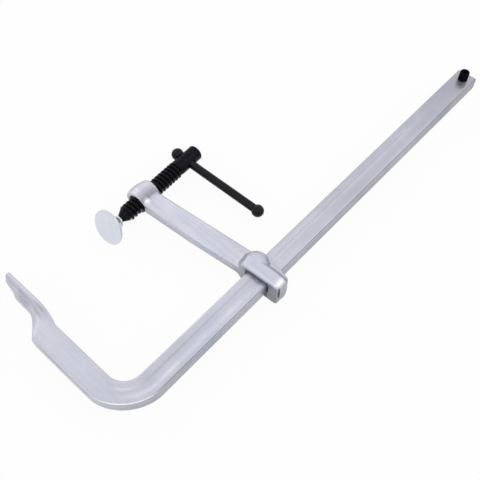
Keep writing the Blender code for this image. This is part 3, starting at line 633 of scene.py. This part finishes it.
def rail_section(width, thick=RAIL_THICK, groove=0.0):
    half, up = width / 2, thick / 2
    blend = RAIL_EDGE * (1 - math.sqrt(0.5))
    upper = [(-half, up - RAIL_EDGE), (-half + blend, up - blend), (-half + RAIL_EDGE, up)]
    upper += [(share * width, up - deep * groove) for share, deep in GROOVE_SHARES]
    upper += [(half - RAIL_EDGE, up), (half - blend, up - blend), (half, up - RAIL_EDGE)]
    return upper + [(out, -up) for out, up in reversed(upper)]


def jaw_section(front, flange, spine, half_height, half_spine, edge, flats=(0.0, 0.0, 0.0)):
    """A flat plate with a spine behind it; it has as many points as the rail's section."""
    blend = edge * (1 - math.sqrt(0.5))
    round_edge = min(edge, (half_height - half_spine) / 2)
    start = (flange, half_height - round_edge)
    stop = (spine - edge, half_spine)
    upper = [(0.0, half_height - edge), (blend, half_height - blend), (edge, half_height),
             (flange - round_edge, half_height), start]
    for share, flat in zip((0.25, 0.5, 0.75), flats):
        slope = mix(start[1], stop[1], share)
        upper.append((mix(start[0], stop[0], share), mix(slope, RAIL_THICK / 2, flat)))
    upper += [stop, (spine - blend, half_spine - blend), (spine, half_spine - edge)]
    return [(out - front, up) for out, up in upper + [(out, -up) for out, up in reversed(upper)]]


def stand(section, middle, out):
    return [tuple(Vector(middle) + Vector(out) * across + Vector((0, 0, up))) for across, up in section]


def shrunk(ring, share):
    ring = np.asarray(ring, float)
    return (ring.mean(0) + (ring - ring.mean(0)) * share).tolist()


def jaw_rings():
    sections = []
    for along, front, height, spine, body, *flats in JAW_ROW_SHARES:
        sections.append((along, jaw_section(
            mix(-JAW_PROUD, 0.0, front), JAW_EDGE_THICK, mix(FIXED_ARM_WIDTH, JAW_SPINE, spine),
            mix(RAIL_THICK, JAW_WIDTH, height) / 2, mix(RAIL_THICK, JAW_SPINE_WIDTH, body) / 2,
            mix(RAIL_EDGE, JAW_EDGE, body), flats)))
    for along, thin, spine, narrow in TIP_ROW_SHARES:
        sections.append((along, jaw_section(
            0.0, mix(JAW_EDGE_THICK, TIP_THICK, thin), mix(JAW_SPINE, TIP_SPINE, spine),
            mix(JAW_WIDTH, TIP_WIDTH, narrow) / 2, mix(JAW_SPINE_WIDTH, TIP_SPINE_WIDTH, narrow) / 2,
            JAW_EDGE)))
    rings = []
    for along, section in reversed(sections):
        rings.append(stand(section, (0.0, JAW_TIP - JAW_LENGTH * (1 - along), 0.0), BACKWARDS))
    return [shrunk(rings[0], TIP_SHRINK_SHARE)] + rings


def bend_rings():
    arm_line = -JAW_PROUD - FIXED_ARM_WIDTH / 2
    rings = []
    for place in (FIXED_ARM_FROM, BEND_CENTRE.y + 0.040, BEND_CENTRE.y + 0.022):
        rings.append(stand(rail_section(FIXED_ARM_WIDTH), (arm_line, place, 0.0), BACKWARDS))
    for step in range(BEND_STEPS + 1):
        share = step / BEND_STEPS
        angle = math.pi * (1 + share / 2)
        out = Vector((math.cos(angle), math.sin(angle), 0.0))
        width = mix(FIXED_ARM_WIDTH, RAIL_WIDTH, share) - BEND_THINNING * math.sin(math.pi * share)
        groove = GROOVE_DEPTH * eased(min(1.0, GROOVE_AT_ARM_SHARE + GROOVE_GROWTH_SHARE * share))
        section = rail_section(width, groove=groove)
        rings.append(stand(section, BEND_CENTRE + out * (BEND_RADIUS + width / 2), out))
    return rings


def straight_rings():
    rings = []
    for place, groove in RAIL_ROWS:
        section = rail_section(RAIL_WIDTH, groove=GROOVE_DEPTH * groove)
        rings.append(stand(section, (place, RAIL_LINE, 0.0), OUTWARDS))
    bevel_from = RAIL_REACH - RAIL_END_BEVEL
    for place, inset in ((bevel_from - 2 * BEVEL_CORNER, 0.0),
                         (bevel_from + BEVEL_CORNER, BEVEL_CORNER / 2),
                         (RAIL_REACH - BEVEL_CORNER / 2, RAIL_END_BEVEL - BEVEL_CORNER),
                         (RAIL_REACH, RAIL_END_BEVEL + 2 * BEVEL_CORNER)):
        section = rail_section(RAIL_WIDTH - 2 * inset, RAIL_THICK - 2 * inset)
        rings.append(stand(section, (place, RAIL_LINE, 0.0), OUTWARDS))
    return rings + [shrunk(rings[-1], 0.5)]


def rib_cutter():
    """Long hollows in both slopes of the jaw's spine, which leave ribs between them."""
    plate_edge = Vector((-JAW_EDGE_THICK, 0.0, JAW_WIDTH / 2 - JAW_EDGE))
    slope = Vector((JAW_EDGE - JAW_SPINE, 0.0, JAW_SPINE_WIDTH / 2)) - plate_edge
    stretch = Matrix.Diagonal((RIB_WIDTH, RIB_LENGTH, 2 * RIB_DEPTH, 1.0))
    bm = bmesh.new()
    for side in (1, -1):
        turn = Matrix.Rotation(-side * math.atan2(-slope.z, -slope.x), 4, "Y")
        for i in range(RIB_COUNT):
            place = plate_edge + slope * ((i + 0.5) / RIB_COUNT)
            lie = Matrix.Translation((place.x, RIBS_AT, side * place.z)) @ turn @ stretch
            bmesh.ops.create_uvsphere(bm, u_segments=24, v_segments=24, radius=0.5, matrix=lie)
    return add_object("ribs", mesh_from("ribs", bm))


def make_rail():
    rings = jaw_rings() + bend_rings() + straight_rings()
    rail = add_object("rail_forging", grid_mesh("rail_forging", rings))
    soft = rail.modifiers.new("Soft", "SUBSURF")
    soft.levels = soft.render_levels = 3
    soft.boundary_smooth = "PRESERVE_CORNERS"
    applied(rail)
    cut(rail, rib_cutter())
    dressed(rail, rail_steel, "rail", ["rail"], 50.0)


make_rail()


# Sliding arm: one forging, its collar, arm and boss run together by fillets
OVERRUN = 0.004
SLOT_HALF_WIDTH = RAIL_WIDTH / 2 + COLLAR_LENGTH / 2 * math.sin(CANT) + 0.0003
SLOT_HALF_THICK = RAIL_THICK / 2 + 0.0006
SLOT_CORNER = 0.0012
SLOT_FLARE = 0.0003
BORE = 0.0156 / 2 + 0.0003
BORE_CHAMFER = 0.0006
BORE_MOUTH = BORE + 0.0014
BOSS_FRONT = 0.0054
BOSS_BACK = -0.0149
BORE_MOUTH_FROM = BOSS_BACK + 0.0018
BORE_MOUTH_TO = BOSS_BACK + 0.0002
BOSS_TUCK = 0.0019
COLLAR_CORNER = 0.0014
COLLAR_ROUND_ACROSS = 0.0030
COLLAR_ROUND_DOWN = 0.0036
LIP_HEIGHT = 0.0084
LIP_CORNER = 0.0012
LEAN = 0.0018
LEAN_SPREAD = 0.013
VOXEL = 0.00045
# Along the arm: place, the -X face, the +X edges of the top and of the lip, the half height and the lean.
COLLAR_ROWS = (
    (-0.0209, -0.0072, 0.0004, 0.0016, 0.0098, 0.0), (-0.0206, -0.0094, 0.0008, 0.0030, 0.0114, 0.0),
    (-0.0200, -0.0103, 0.0011, 0.0042, 0.0124, 0.0), (-0.0184, -0.0106, 0.0014, 0.0058, 0.0132, 0.0),
    (-0.0150, -0.0106, 0.0017, 0.0068, 0.0135, 0.0), (-0.0105, -0.0106, 0.0019, 0.0090, 0.0135, 0.0),
    (-0.0030, -0.0106, 0.0020, 0.0090, 0.0135, 0.0), (0.0030, -0.0106, 0.0018, 0.0078, 0.0135, 0.0),
    (0.0100, -0.0106, 0.0016, 0.0070, 0.0135, 0.2), (0.0150, -0.0106, 0.0016, 0.0062, 0.0133, 0.75),
    (0.0166, -0.0106, 0.0018, 0.0062, 0.0124, 0.95), (0.0176, -0.0106, 0.0022, 0.0062, 0.0108, 1.0),
    (0.0186, -0.0106, 0.0030, 0.0064, 0.0088, 1.0), (0.0198, -0.0107, 0.0036, 0.0066, 0.0072, 0.8),
    (0.0214, -0.0108, 0.0040, 0.0066, 0.0061, 0.4), (0.0234, -0.0109, 0.0040, 0.0066, 0.0053, 0.0),
    (0.0250, -0.0109, 0.0040, 0.0066, 0.0048, 0.0),
)
# Along the arm: place, its two sides, its thickness and the rounding of its corners.
ARM_ROWS = (
    (0.0120, -0.0108, 0.0084, 0.0108, 0.0016), (0.0240, -0.0112, 0.0083, 0.0108, 0.0014),
    (0.0700, -0.0137, 0.0062, 0.0108, 0.0014), (SPINDLE_LINE - 0.0150, -0.0147, 0.0042, 0.0108, 0.0014),
    (SPINDLE_LINE - 0.0105, -0.0149, 0.0040, 0.0110, 0.0016),
    (SPINDLE_LINE - 0.0065, -0.0150, 0.0038, 0.0126, 0.0026),
    (SPINDLE_LINE, -0.0150, 0.0036, 0.0150, 0.0040),
)
# The round hump over the slot: radius, height and fillet from its top to its underside, and its middle.
HUMP_PROFILE = (
    (0.0, 0.0136, 0), (0.0044, 0.0133, 0.002), (0.0078, 0.0124, 0.003), (0.0107, 0.0106, 0.0012),
    (0.0107, -0.0106, 0.0012), (0.0078, -0.0123, 0.003), (0.0044, -0.0131, 0.002), (0.0, -0.0133, 0),
)
HUMP_AT = (0.0001, 0.0096, 0.0)
# Along the spindle: place, the boss's radius there, and how far its middle stands out past the axis.
BOSS_ROWS = (
    (-0.0151, 0.0106, 0.0011), (-0.0149, 0.0115, 0.0012), (-0.0142, 0.0121, 0.0013),
    (-0.0115, 0.0122, 0.0015), (-0.0080, 0.0124, 0.0017), (-0.0030, 0.0120, 0.0018),
    (0.0020, 0.0117, 0.0008), (0.0046, 0.0115, 0.0), (0.0052, 0.0110, 0.0), (0.0054, 0.0102, 0.0),
)
# The oval button on the collar's end: place along the arm, half width and half height, and its middle.
BUTTON_ROWS = ((-0.0180, 0.0046, 0.0092), (-0.0206, 0.0043, 0.0088), (-0.0210, 0.0038, 0.0082))
BUTTON_X, BUTTON_Z = -0.0011, -0.0042
CREASE_AT = (-0.0084, -0.0214, 0.0028)
CREASE_RADII = (0.0015, 0.0028, 0.0098)


def rounded_rectangle(low, high, half_height, corner, steps):
    corner = min(corner, (high - low) / 2, half_height)
    corners = ((high, half_height), (low, half_height), (low, -half_height), (high, -half_height))
    points = []
    for quarter, (across, up) in enumerate(corners):
        middle_across = across - math.copysign(corner, across - (low + high) / 2)
        middle_up = up - math.copysign(corner, up)
        for i in range(steps + 1):
            angle = math.pi / 2 * (quarter + i / steps)
            points.append((middle_across + corner * math.cos(angle), middle_up + corner * math.sin(angle)))
    return points


def collar_section(face, top_edge, lip_edge, height):
    """One flank is a flat face; the other falls away from the top over a hollow to the lip beside the slot.
    The flat flank's upper corner is well rounded and its lower one is sharper."""
    lip = min(LIP_HEIGHT, 0.75 * height)
    step = lip_edge - top_edge
    corner = min(COLLAR_CORNER, (top_edge - face) / 2.2)
    round_across = min(COLLAR_ROUND_ACROSS, 0.5 * (top_edge - face))
    round_down = min(COLLAR_ROUND_DOWN, 0.5 * height)
    side = [(lip_edge, 0.0), (lip_edge, lip - LIP_CORNER), (lip_edge - 0.12 * step, lip - LIP_CORNER / 6),
            (lip_edge - 0.40 * step, lip), (top_edge + 0.34 * step, mix(lip, height, 0.16)),
            (top_edge + 0.12 * step, mix(lip, height, 0.52)), (top_edge, height - 0.8 * corner),
            (top_edge - 0.9 * corner, height)]
    halves = []
    for across, down in ((round_across, round_down), (corner, corner)):
        angles = [math.pi / 2 * (1 + i / 6) for i in range(7)]
        halves.append(side + [(face + across * (1 + math.cos(a)), height - down * (1 - math.sin(a)))
                              for a in angles])
    upper, lower = halves
    return upper + [(face, 0.0)] + [(x, -z) for x, z in reversed(lower[1:])]


def leaning(x):
    """How far a row leans along the arm: not at all at the -X face, then more, but ever more slowly."""
    left = 1 - min(1.0, max(0.0, (x + COLLAR_LENGTH / 2) / LEAN_SPREAD))
    return LEAN * (1 - left * left)


def boss_ring(place, wide, out, angles):
    """A circle round the spindle's line, drawn in on the side of the arm."""
    ring = []
    for a in angles:
        reach = wide - (BOSS_TUCK if math.cos(a) < 0 else 0.0)
        ring.append((place, SPINDLE_LINE + out + reach * math.cos(a), wide * math.sin(a)))
    return ring


def arm_shapes():
    """The forging's shapes, which overlap each other."""
    angles = round_angles(96)
    collar = []
    for place, face, top_edge, lip_edge, height, lean in COLLAR_ROWS:
        section = collar_section(face, top_edge, lip_edge, height)
        collar.append([(x, place + lean * leaning(x), z) for x, z in section])
    bar = []
    for place, low, high, thick, corner in ARM_ROWS:
        bar.append([(x, place, z) for x, z in rounded_rectangle(low, high, thick / 2, corner, 8)])
    boss = [boss_ring(*row, angles) for row in BOSS_ROWS]
    button = [[(BUTTON_X + wide * math.cos(a), place, BUTTON_Z + tall * math.sin(a)) for a in angles]
              for place, wide, tall in BUTTON_ROWS]
    hump = turned_mesh("hump", rounded_profile(HUMP_PROFILE), 96)
    return [
        add_object("collar", grid_mesh("collar", collar), CARRIER),
        add_object("bar", grid_mesh("bar", bar), CARRIER),
        add_object("hump", hump, CARRIER @ Matrix.Translation(HUMP_AT)),
        add_object("boss", grid_mesh("boss", boss), CARRIER),
        add_object("button", grid_mesh("button", button), CARRIER),
    ]


def joined(name, things):
    """The things as one object, their skins left overlapping for the voxels to merge."""
    bpy.context.view_layer.update()
    bm = bmesh.new()
    for thing in things:
        thing.data.transform(thing.matrix_world)
        bm.from_mesh(thing.data)
        bpy.data.objects.remove(thing)
    return add_object(name, mesh_from(name, bm))


def slot_cutter():
    half = COLLAR_LENGTH / 2
    flare = OVERRUN + SLOT_FLARE
    rings = []
    for place, out in ((-half - OVERRUN, flare), (-half + SLOT_FLARE, 0.0), (half - SLOT_FLARE, 0.0),
                       (half + OVERRUN, flare)):
        wide = SLOT_HALF_WIDTH + out
        section = rounded_rectangle(-wide, wide, SLOT_HALF_THICK + out, SLOT_CORNER, 4)
        rings.append([(place, y, z) for y, z in section])
    return add_object("slot", grid_mesh("slot", rings), CARRIER)


def bore_cutter():
    profile = ((0.0, BOSS_FRONT + OVERRUN), (BORE + OVERRUN + BORE_CHAMFER, BOSS_FRONT + OVERRUN),
               (BORE, BOSS_FRONT - BORE_CHAMFER), (BORE, BORE_MOUTH_FROM), (BORE_MOUTH, BORE_MOUTH_TO),
               (BORE_MOUTH, BOSS_BACK - OVERRUN), (0.0, BOSS_BACK - OVERRUN))
    return add_object("bore", turned_mesh("bore", profile, 96), SPINDLE)


def crease_cutter():
    bm = bmesh.new()
    lie = Matrix.Translation(CREASE_AT) @ Matrix.Diagonal((*CREASE_RADII, 1.0))
    bmesh.ops.create_uvsphere(bm, u_segments=32, v_segments=32, radius=1.0, matrix=lie)
    return add_object("crease", mesh_from("crease", bm), CARRIER)


def make_arm():
    arm = joined("arm_forging", arm_shapes())
    voxels = arm.modifiers.new("Voxels", "REMESH")
    voxels.mode = "VOXEL"
    voxels.voxel_size = VOXEL
    ease = arm.modifiers.new("Ease", "SMOOTH")
    ease.factor = 0.5
    ease.iterations = 18
    applied(arm)
    cut(arm, slot_cutter())
    cut(arm, bore_cutter())
    cut(arm, crease_cutter())
    dressed(arm, arm_steel, "arm", ["sliding_arm"], 62.0)


make_arm()


# Spindle: a rolled thread worked out as a height field round the axis, and a plain head
THREAD_CREST = 0.0078
THREAD_DEPTH = 0.0020
THREAD_PITCH = 0.0040
THREAD_FROM = -0.0285
THREAD_START = 0.0010
THREAD_STEPS = 144
THREAD_GRAIN = 0.00013
# From a crest's middle down its flank: the share of the pitch and the share of the depth that is left.
THREAD_FLANK = ((0.15, 1.0), (0.20, 0.93), (0.29, 0.07), (0.35, 0.0))
NOSE_BALL = 0.0043
NOSE_NECK = 0.0023
CONE_FROM = NOSE_AT + 0.0045
CONE_END = 0.0072
RING_GROOVE = 0.0032
RING_GROOVE_AT = NOSE_AT + 0.0011
RING_GROOVE_WIDTH = 0.0015
HEAD_RADIUS = 0.0147 / 2
HEAD_FROM = 0.0374
HEAD_END = 0.0631
HEAD_END_FILLET = 0.0020
HEAD_FOOT_FILLET = 0.0008
RUN_OUT_FROM = HEAD_FROM - 0.0026
RUN_OUT_LENGTH = 0.0022
RUN_OUT_SHARE = 0.45
CROSS_HOLE = 0.0083 / 2
CROSS_SEAT = 0.0007
CROSS_SEAT_FROM = HEAD_RADIUS - 0.0001
CROSS_SEAT_TO = HEAD_RADIUS - 0.0011
CROSS_REACH = 0.02


def thread_rings():
    ball_end = NOSE_AT + math.sqrt(NOSE_BALL ** 2 - NOSE_NECK ** 2)
    half_turn = math.asin((ball_end - NOSE_AT) / NOSE_BALL)
    z = np.concatenate([
        NOSE_AT + NOSE_BALL * np.sin(np.linspace(-math.pi / 2, half_turn, 24)),
        np.linspace(ball_end, CONE_FROM, 4)[1:],
        np.arange(CONE_FROM + 0.0002, HEAD_FROM, THREAD_GRAIN),
        [HEAD_FROM],
    ])
    blank = np.interp(z, [CONE_FROM, THREAD_FROM, THREAD_FROM + THREAD_START],
                      [NOSE_NECK, CONE_END, CONE_END + THREAD_START])
    blank[z <= CONE_FROM] = NOSE_NECK
    on_ball = z <= ball_end
    blank[on_ball] = np.sqrt(np.maximum(NOSE_BALL ** 2 - (z[on_ball] - NOSE_AT) ** 2, 0.0))
    blank[np.abs(z - RING_GROOVE_AT) < RING_GROOVE_WIDTH / 2] = RING_GROOVE
    angles = round_angles(THREAD_STEPS)
    turn = angles[None, :] / (2 * math.pi)
    phase = (z[:, None] / THREAD_PITCH - turn) % 1.0
    rise = np.interp(np.abs(phase - 0.5), *zip(*THREAD_FLANK))
    threaded = THREAD_CREST - THREAD_DEPTH + THREAD_DEPTH * rise
    run = eased(np.clip((z - RUN_OUT_FROM) / RUN_OUT_LENGTH, 0, 1)[:, None])
    threaded = mix(threaded, THREAD_CREST - RUN_OUT_SHARE * THREAD_DEPTH, run)
    return rings_round_z(np.minimum(blank[:, None], threaded), z[:, None], angles)


def cross_cutter():
    """The tommy bar's hole, countersunk at both ends so that the balls clear the head."""
    seat = CROSS_HOLE + CROSS_SEAT
    half = [(seat, CROSS_REACH), (seat, CROSS_SEAT_FROM), (CROSS_HOLE, CROSS_SEAT_TO)]
    profile = [(0.0, CROSS_REACH)] + half + [(r, -z) for r, z in reversed(half)] + [(0.0, -CROSS_REACH)]
    return add_object("cross", turned_mesh("cross", profile, 64), TOMMY)


def make_spindle():
    screw = add_object("spindle_thread", grid_mesh("spindle_thread", thread_rings()), SPINDLE)
    dressed(screw, thread_steel, "spindle", ["spindle"], 60.0)
    profile = rounded_profile(((0.0, HEAD_END, 0), (HEAD_RADIUS, HEAD_END, HEAD_END_FILLET),
                               (HEAD_RADIUS, HEAD_FROM, HEAD_FOOT_FILLET), (0.0, HEAD_FROM, 0)), 8)
    head = add_object("spindle_head", turned_mesh("spindle_head", profile, 128), SPINDLE)
    cut(head, cross_cutter())
    dressed(head, head_steel, "spindle", ["spindle"])


make_spindle()


# Tommy bar and its balls
TOMMY_ROD = 0.0077 / 2
TOMMY_BALL = 0.0115 / 2
TOMMY_NEAR = -0.0108
TOMMY_FAR = TOMMY_NEAR + 0.0949


def make_tommy():
    flat = math.sqrt(TOMMY_BALL ** 2 - TOMMY_ROD ** 2)
    high, low = TOMMY_FAR - flat, TOMMY_NEAR + flat
    profile = rounded_profile(((0.0, high, 0), (TOMMY_ROD, high, 0.0002), (TOMMY_ROD, low, 0.0002),
                               (0.0, low, 0)), 3)
    bar = add_object("tommy_rod", turned_mesh("tommy_rod", profile, 64), TOMMY)
    dressed(bar, knob_steel, "tommy", ["tommy_bar"])
    angles = np.linspace(math.acos(TOMMY_ROD / TOMMY_BALL), -math.pi / 2, 40)
    profile = [(0.0, flat + 0.0001), (TOMMY_ROD - 0.0002, flat + 0.0001),
               (TOMMY_ROD + 0.0001, flat - 0.0001)]
    profile += [(TOMMY_BALL * math.cos(a), TOMMY_BALL * math.sin(a)) for a in angles[2:-1]]
    profile += [(0.0, -TOMMY_BALL)]
    for name, place, turn in (("near", TOMMY_NEAR, 0.0), ("far", TOMMY_FAR, math.pi)):
        matrix = TOMMY @ Matrix.Translation((0.0, 0.0, place)) @ Matrix.Rotation(turn, 4, "X")
        knob = add_object("tommy_knob_" + name, turned_mesh("tommy_knob_" + name, profile, 64), matrix)
        dressed(knob, knob_steel, "tommy", ["tommy_ball_" + name])


make_tommy()


# Pressure pad on its ball: a thin disc, a hollow back and a short neck
PAD_CHAMBER = 0.00502
PAD_MOUTH = 0.0031
PAD_NECK = 0.0061
PAD_RIM = 0.01605
PAD_FACE = -0.0092
PAD_THICK = 0.0020
PAD_SHOULDER = 0.0015
# Round the mouth's lip: radius, height and fillet.
PAD_LIP_CORNERS = ((0.00505, 0.0044, 0.0003), (0.0056, 0.00385, 0.0006), (0.0049, 0.0026, 0.0006))
# From the neck out to the rim: the share of the way out and of the way down.
PAD_HOLLOW_SHARES = ((0.16, 0.40), (0.41, 0.71), (0.69, 0.92))


def make_pad():
    back = PAD_FACE + PAD_THICK
    angles = np.linspace(-math.pi / 2, math.asin(PAD_MOUTH / PAD_CHAMBER), 24)
    inner = [(0.0, -PAD_CHAMBER)]
    inner += [(PAD_CHAMBER * math.cos(a), PAD_CHAMBER * math.sin(a)) for a in angles[1:]]
    outer = [(*inner[-1], 0), *PAD_LIP_CORNERS, (PAD_NECK, PAD_SHOULDER, 0.0008)]
    for out, down in PAD_HOLLOW_SHARES:
        outer.append((mix(PAD_NECK, PAD_RIM, out), mix(PAD_SHOULDER, back, down), 0.002))
    outer += [(PAD_RIM, back, 0.0005), (PAD_RIM, PAD_FACE, 0.0006), (0.0, PAD_FACE, 0)]
    profile = inner[:-1] + rounded_profile(outer)
    pad = add_object("swivel_pad", turned_mesh("swivel_pad", profile, 160), PAD)
    dressed(pad, pad_steel, "pad", ["pressure_pad"])


make_pad()


# Stop screw: a socket head with a knurled side
STOP_RADIUS = 0.0046
STOP_TOP = 0.0092
STOP_INSET = 0.0107
STOP_GAP = 0.00005
KNURLS = 36
KNURL_DEPTH = 0.00016
KNURL_FADE = 0.0006
KNURL_FROM = 0.0008
KNURL_TO = STOP_TOP - 0.0012
SOCKET_WIDTH = 0.0045
SOCKET_DEPTH = 0.004


def make_stop():
    profile = np.array(rounded_profile(((0.0, STOP_TOP, 0), (STOP_RADIUS, STOP_TOP, 0.0009),
                                        (STOP_RADIUS, 0.0, 0.0004), (0.0, 0.0, 0))))
    angles = round_angles(5 * KNURLS)
    r, z = profile[:, :1], profile[:, 1:]
    knurled = np.clip((z - KNURL_FROM) / KNURL_FADE, 0, 1) * np.clip((KNURL_TO - z) / KNURL_FADE, 0, 1)
    knurled = knurled * (r > 0.9 * STOP_RADIUS)
    radius = r - KNURL_DEPTH * knurled * (0.5 + 0.5 * np.cos(KNURLS * angles))
    place = Matrix.Translation((RAIL_REACH - STOP_INSET, RAIL_LINE, RAIL_THICK / 2 + STOP_GAP))
    mesh = grid_mesh("stop_head", rings_round_z(radius, z, angles), close_ends=False)
    screw = add_object("stop_head", mesh, place)
    bm = bmesh.new()
    corner = SOCKET_WIDTH / math.sqrt(3)
    bmesh.ops.create_cone(bm, cap_ends=True, segments=6, radius1=corner, radius2=corner,
                          depth=2 * SOCKET_DEPTH)
    cut(screw, add_object("hex", mesh_from("hex", bm), place @ Matrix.Translation((0.0, 0.0, STOP_TOP))))
    dressed(screw, stop_steel, "rail", ["stop_screw"])


make_stop()


# Floor and world: white to the camera and to reflections, pale to the light
FLOOR_AT = cad_box[0][2] - 0.0002


def emission(net, kind, colour, strength):
    """A glowing shader for the floor or a background for the world."""
    node = net.nodes.new(kind)
    net.feed(node.inputs["Color"], colour)
    net.feed(node.inputs["Strength"], strength)
    return node.outputs[0]


def floor_material():
    material, net = new_material("pale_floor")
    diffuse = net.nodes.new("ShaderNodeBsdfDiffuse")
    net.feed(diffuse.inputs["Color"], (0.92, 0.92, 0.92))
    glow = emission(net, "ShaderNodeEmission", (1.0, 1.0, 1.0), 1.0)
    path = net.nodes.new("ShaderNodeLightPath").outputs
    seen = net.number("MAXIMUM", path["Is Camera Ray"], path["Is Glossy Ray"])
    share = net.number("MULTIPLY", seen, 0.94)
    out = net.nodes.new("ShaderNodeOutputMaterial")
    net.feed(out.inputs["Surface"], net.mixed(share, diffuse.outputs["BSDF"], glow))
    return material


def make_world():
    world = bpy.data.worlds.new("studio")
    scene.world = world
    world.use_nodes = True
    net = Net(world.node_tree)
    soft = emission(net, "ShaderNodeBackground", (0.98, 0.98, 1.0), 0.74)
    white = emission(net, "ShaderNodeBackground", (1.0, 1.0, 1.0), 1.0)
    path = net.nodes.new("ShaderNodeLightPath").outputs
    seen = net.number("MAXIMUM", path["Is Camera Ray"], path["Is Glossy Ray"])
    seen = net.number("MAXIMUM", seen, path["Is Transmission Ray"])
    out = net.nodes.new("ShaderNodeOutputWorld")
    net.feed(out.inputs["Surface"], net.mixed(seen, soft, white))


bpy.ops.mesh.primitive_plane_add(size=6.0, location=(0.2, -0.06, FLOOR_AT))
floor = bpy.context.object
floor.name = "floor"
floor.data.materials.append(floor_material())
make_world()


# Lamps
LAMP_AIM = Vector((0.20, -0.07, 0.0))


def lamp(name, place, size, power):
    data = bpy.data.lights.new(name, "AREA")
    data.shape = "SQUARE"
    data.size = size
    data.energy = power
    thing = bpy.data.objects.new(name, data)
    scene.collection.objects.link(thing)
    thing.location = place
    thing.rotation_euler = (LAMP_AIM - Vector(place)).to_track_quat("-Z", "Y").to_euler()


lamp("key", (-0.45, -0.20, 0.95), 0.6, 1.0)
lamp("side", (0.85, -0.45, 0.75), 0.9, 1.2)
lamp("back", (0.25, 1.15, 0.95), 1.0, 1.6)
lamp("glint", (0.03, -0.70, 0.90), 0.20, 0.3)


# Camera, fitted to the photograph's outlines: its focal length is in pixels of the photograph's width
PHOTO_WIDTH = 480.0
FOCAL_PIXELS = 662.35
SENSOR_WIDTH = 36.0
CAMERA_PLACE = (-0.07535, -0.29906, 0.46896)
CAMERA_LOOK_DOWN = 56.768
CAMERA_TURN = -47.731
camera_data = bpy.data.cameras.new("camera")
camera_data.sensor_width = SENSOR_WIDTH
camera_data.sensor_fit = "HORIZONTAL"
camera_data.lens = SENSOR_WIDTH * FOCAL_PIXELS / PHOTO_WIDTH
camera_data.clip_start = 0.01
camera_data.clip_end = 20.0
camera = bpy.data.objects.new("camera", camera_data)
scene.collection.objects.link(camera)
camera.location = CAMERA_PLACE
camera.rotation_euler = (math.radians(90.0 - CAMERA_LOOK_DOWN), 0.0, math.radians(CAMERA_TURN))
scene.camera = camera

scene.view_settings.view_transform = "Standard"
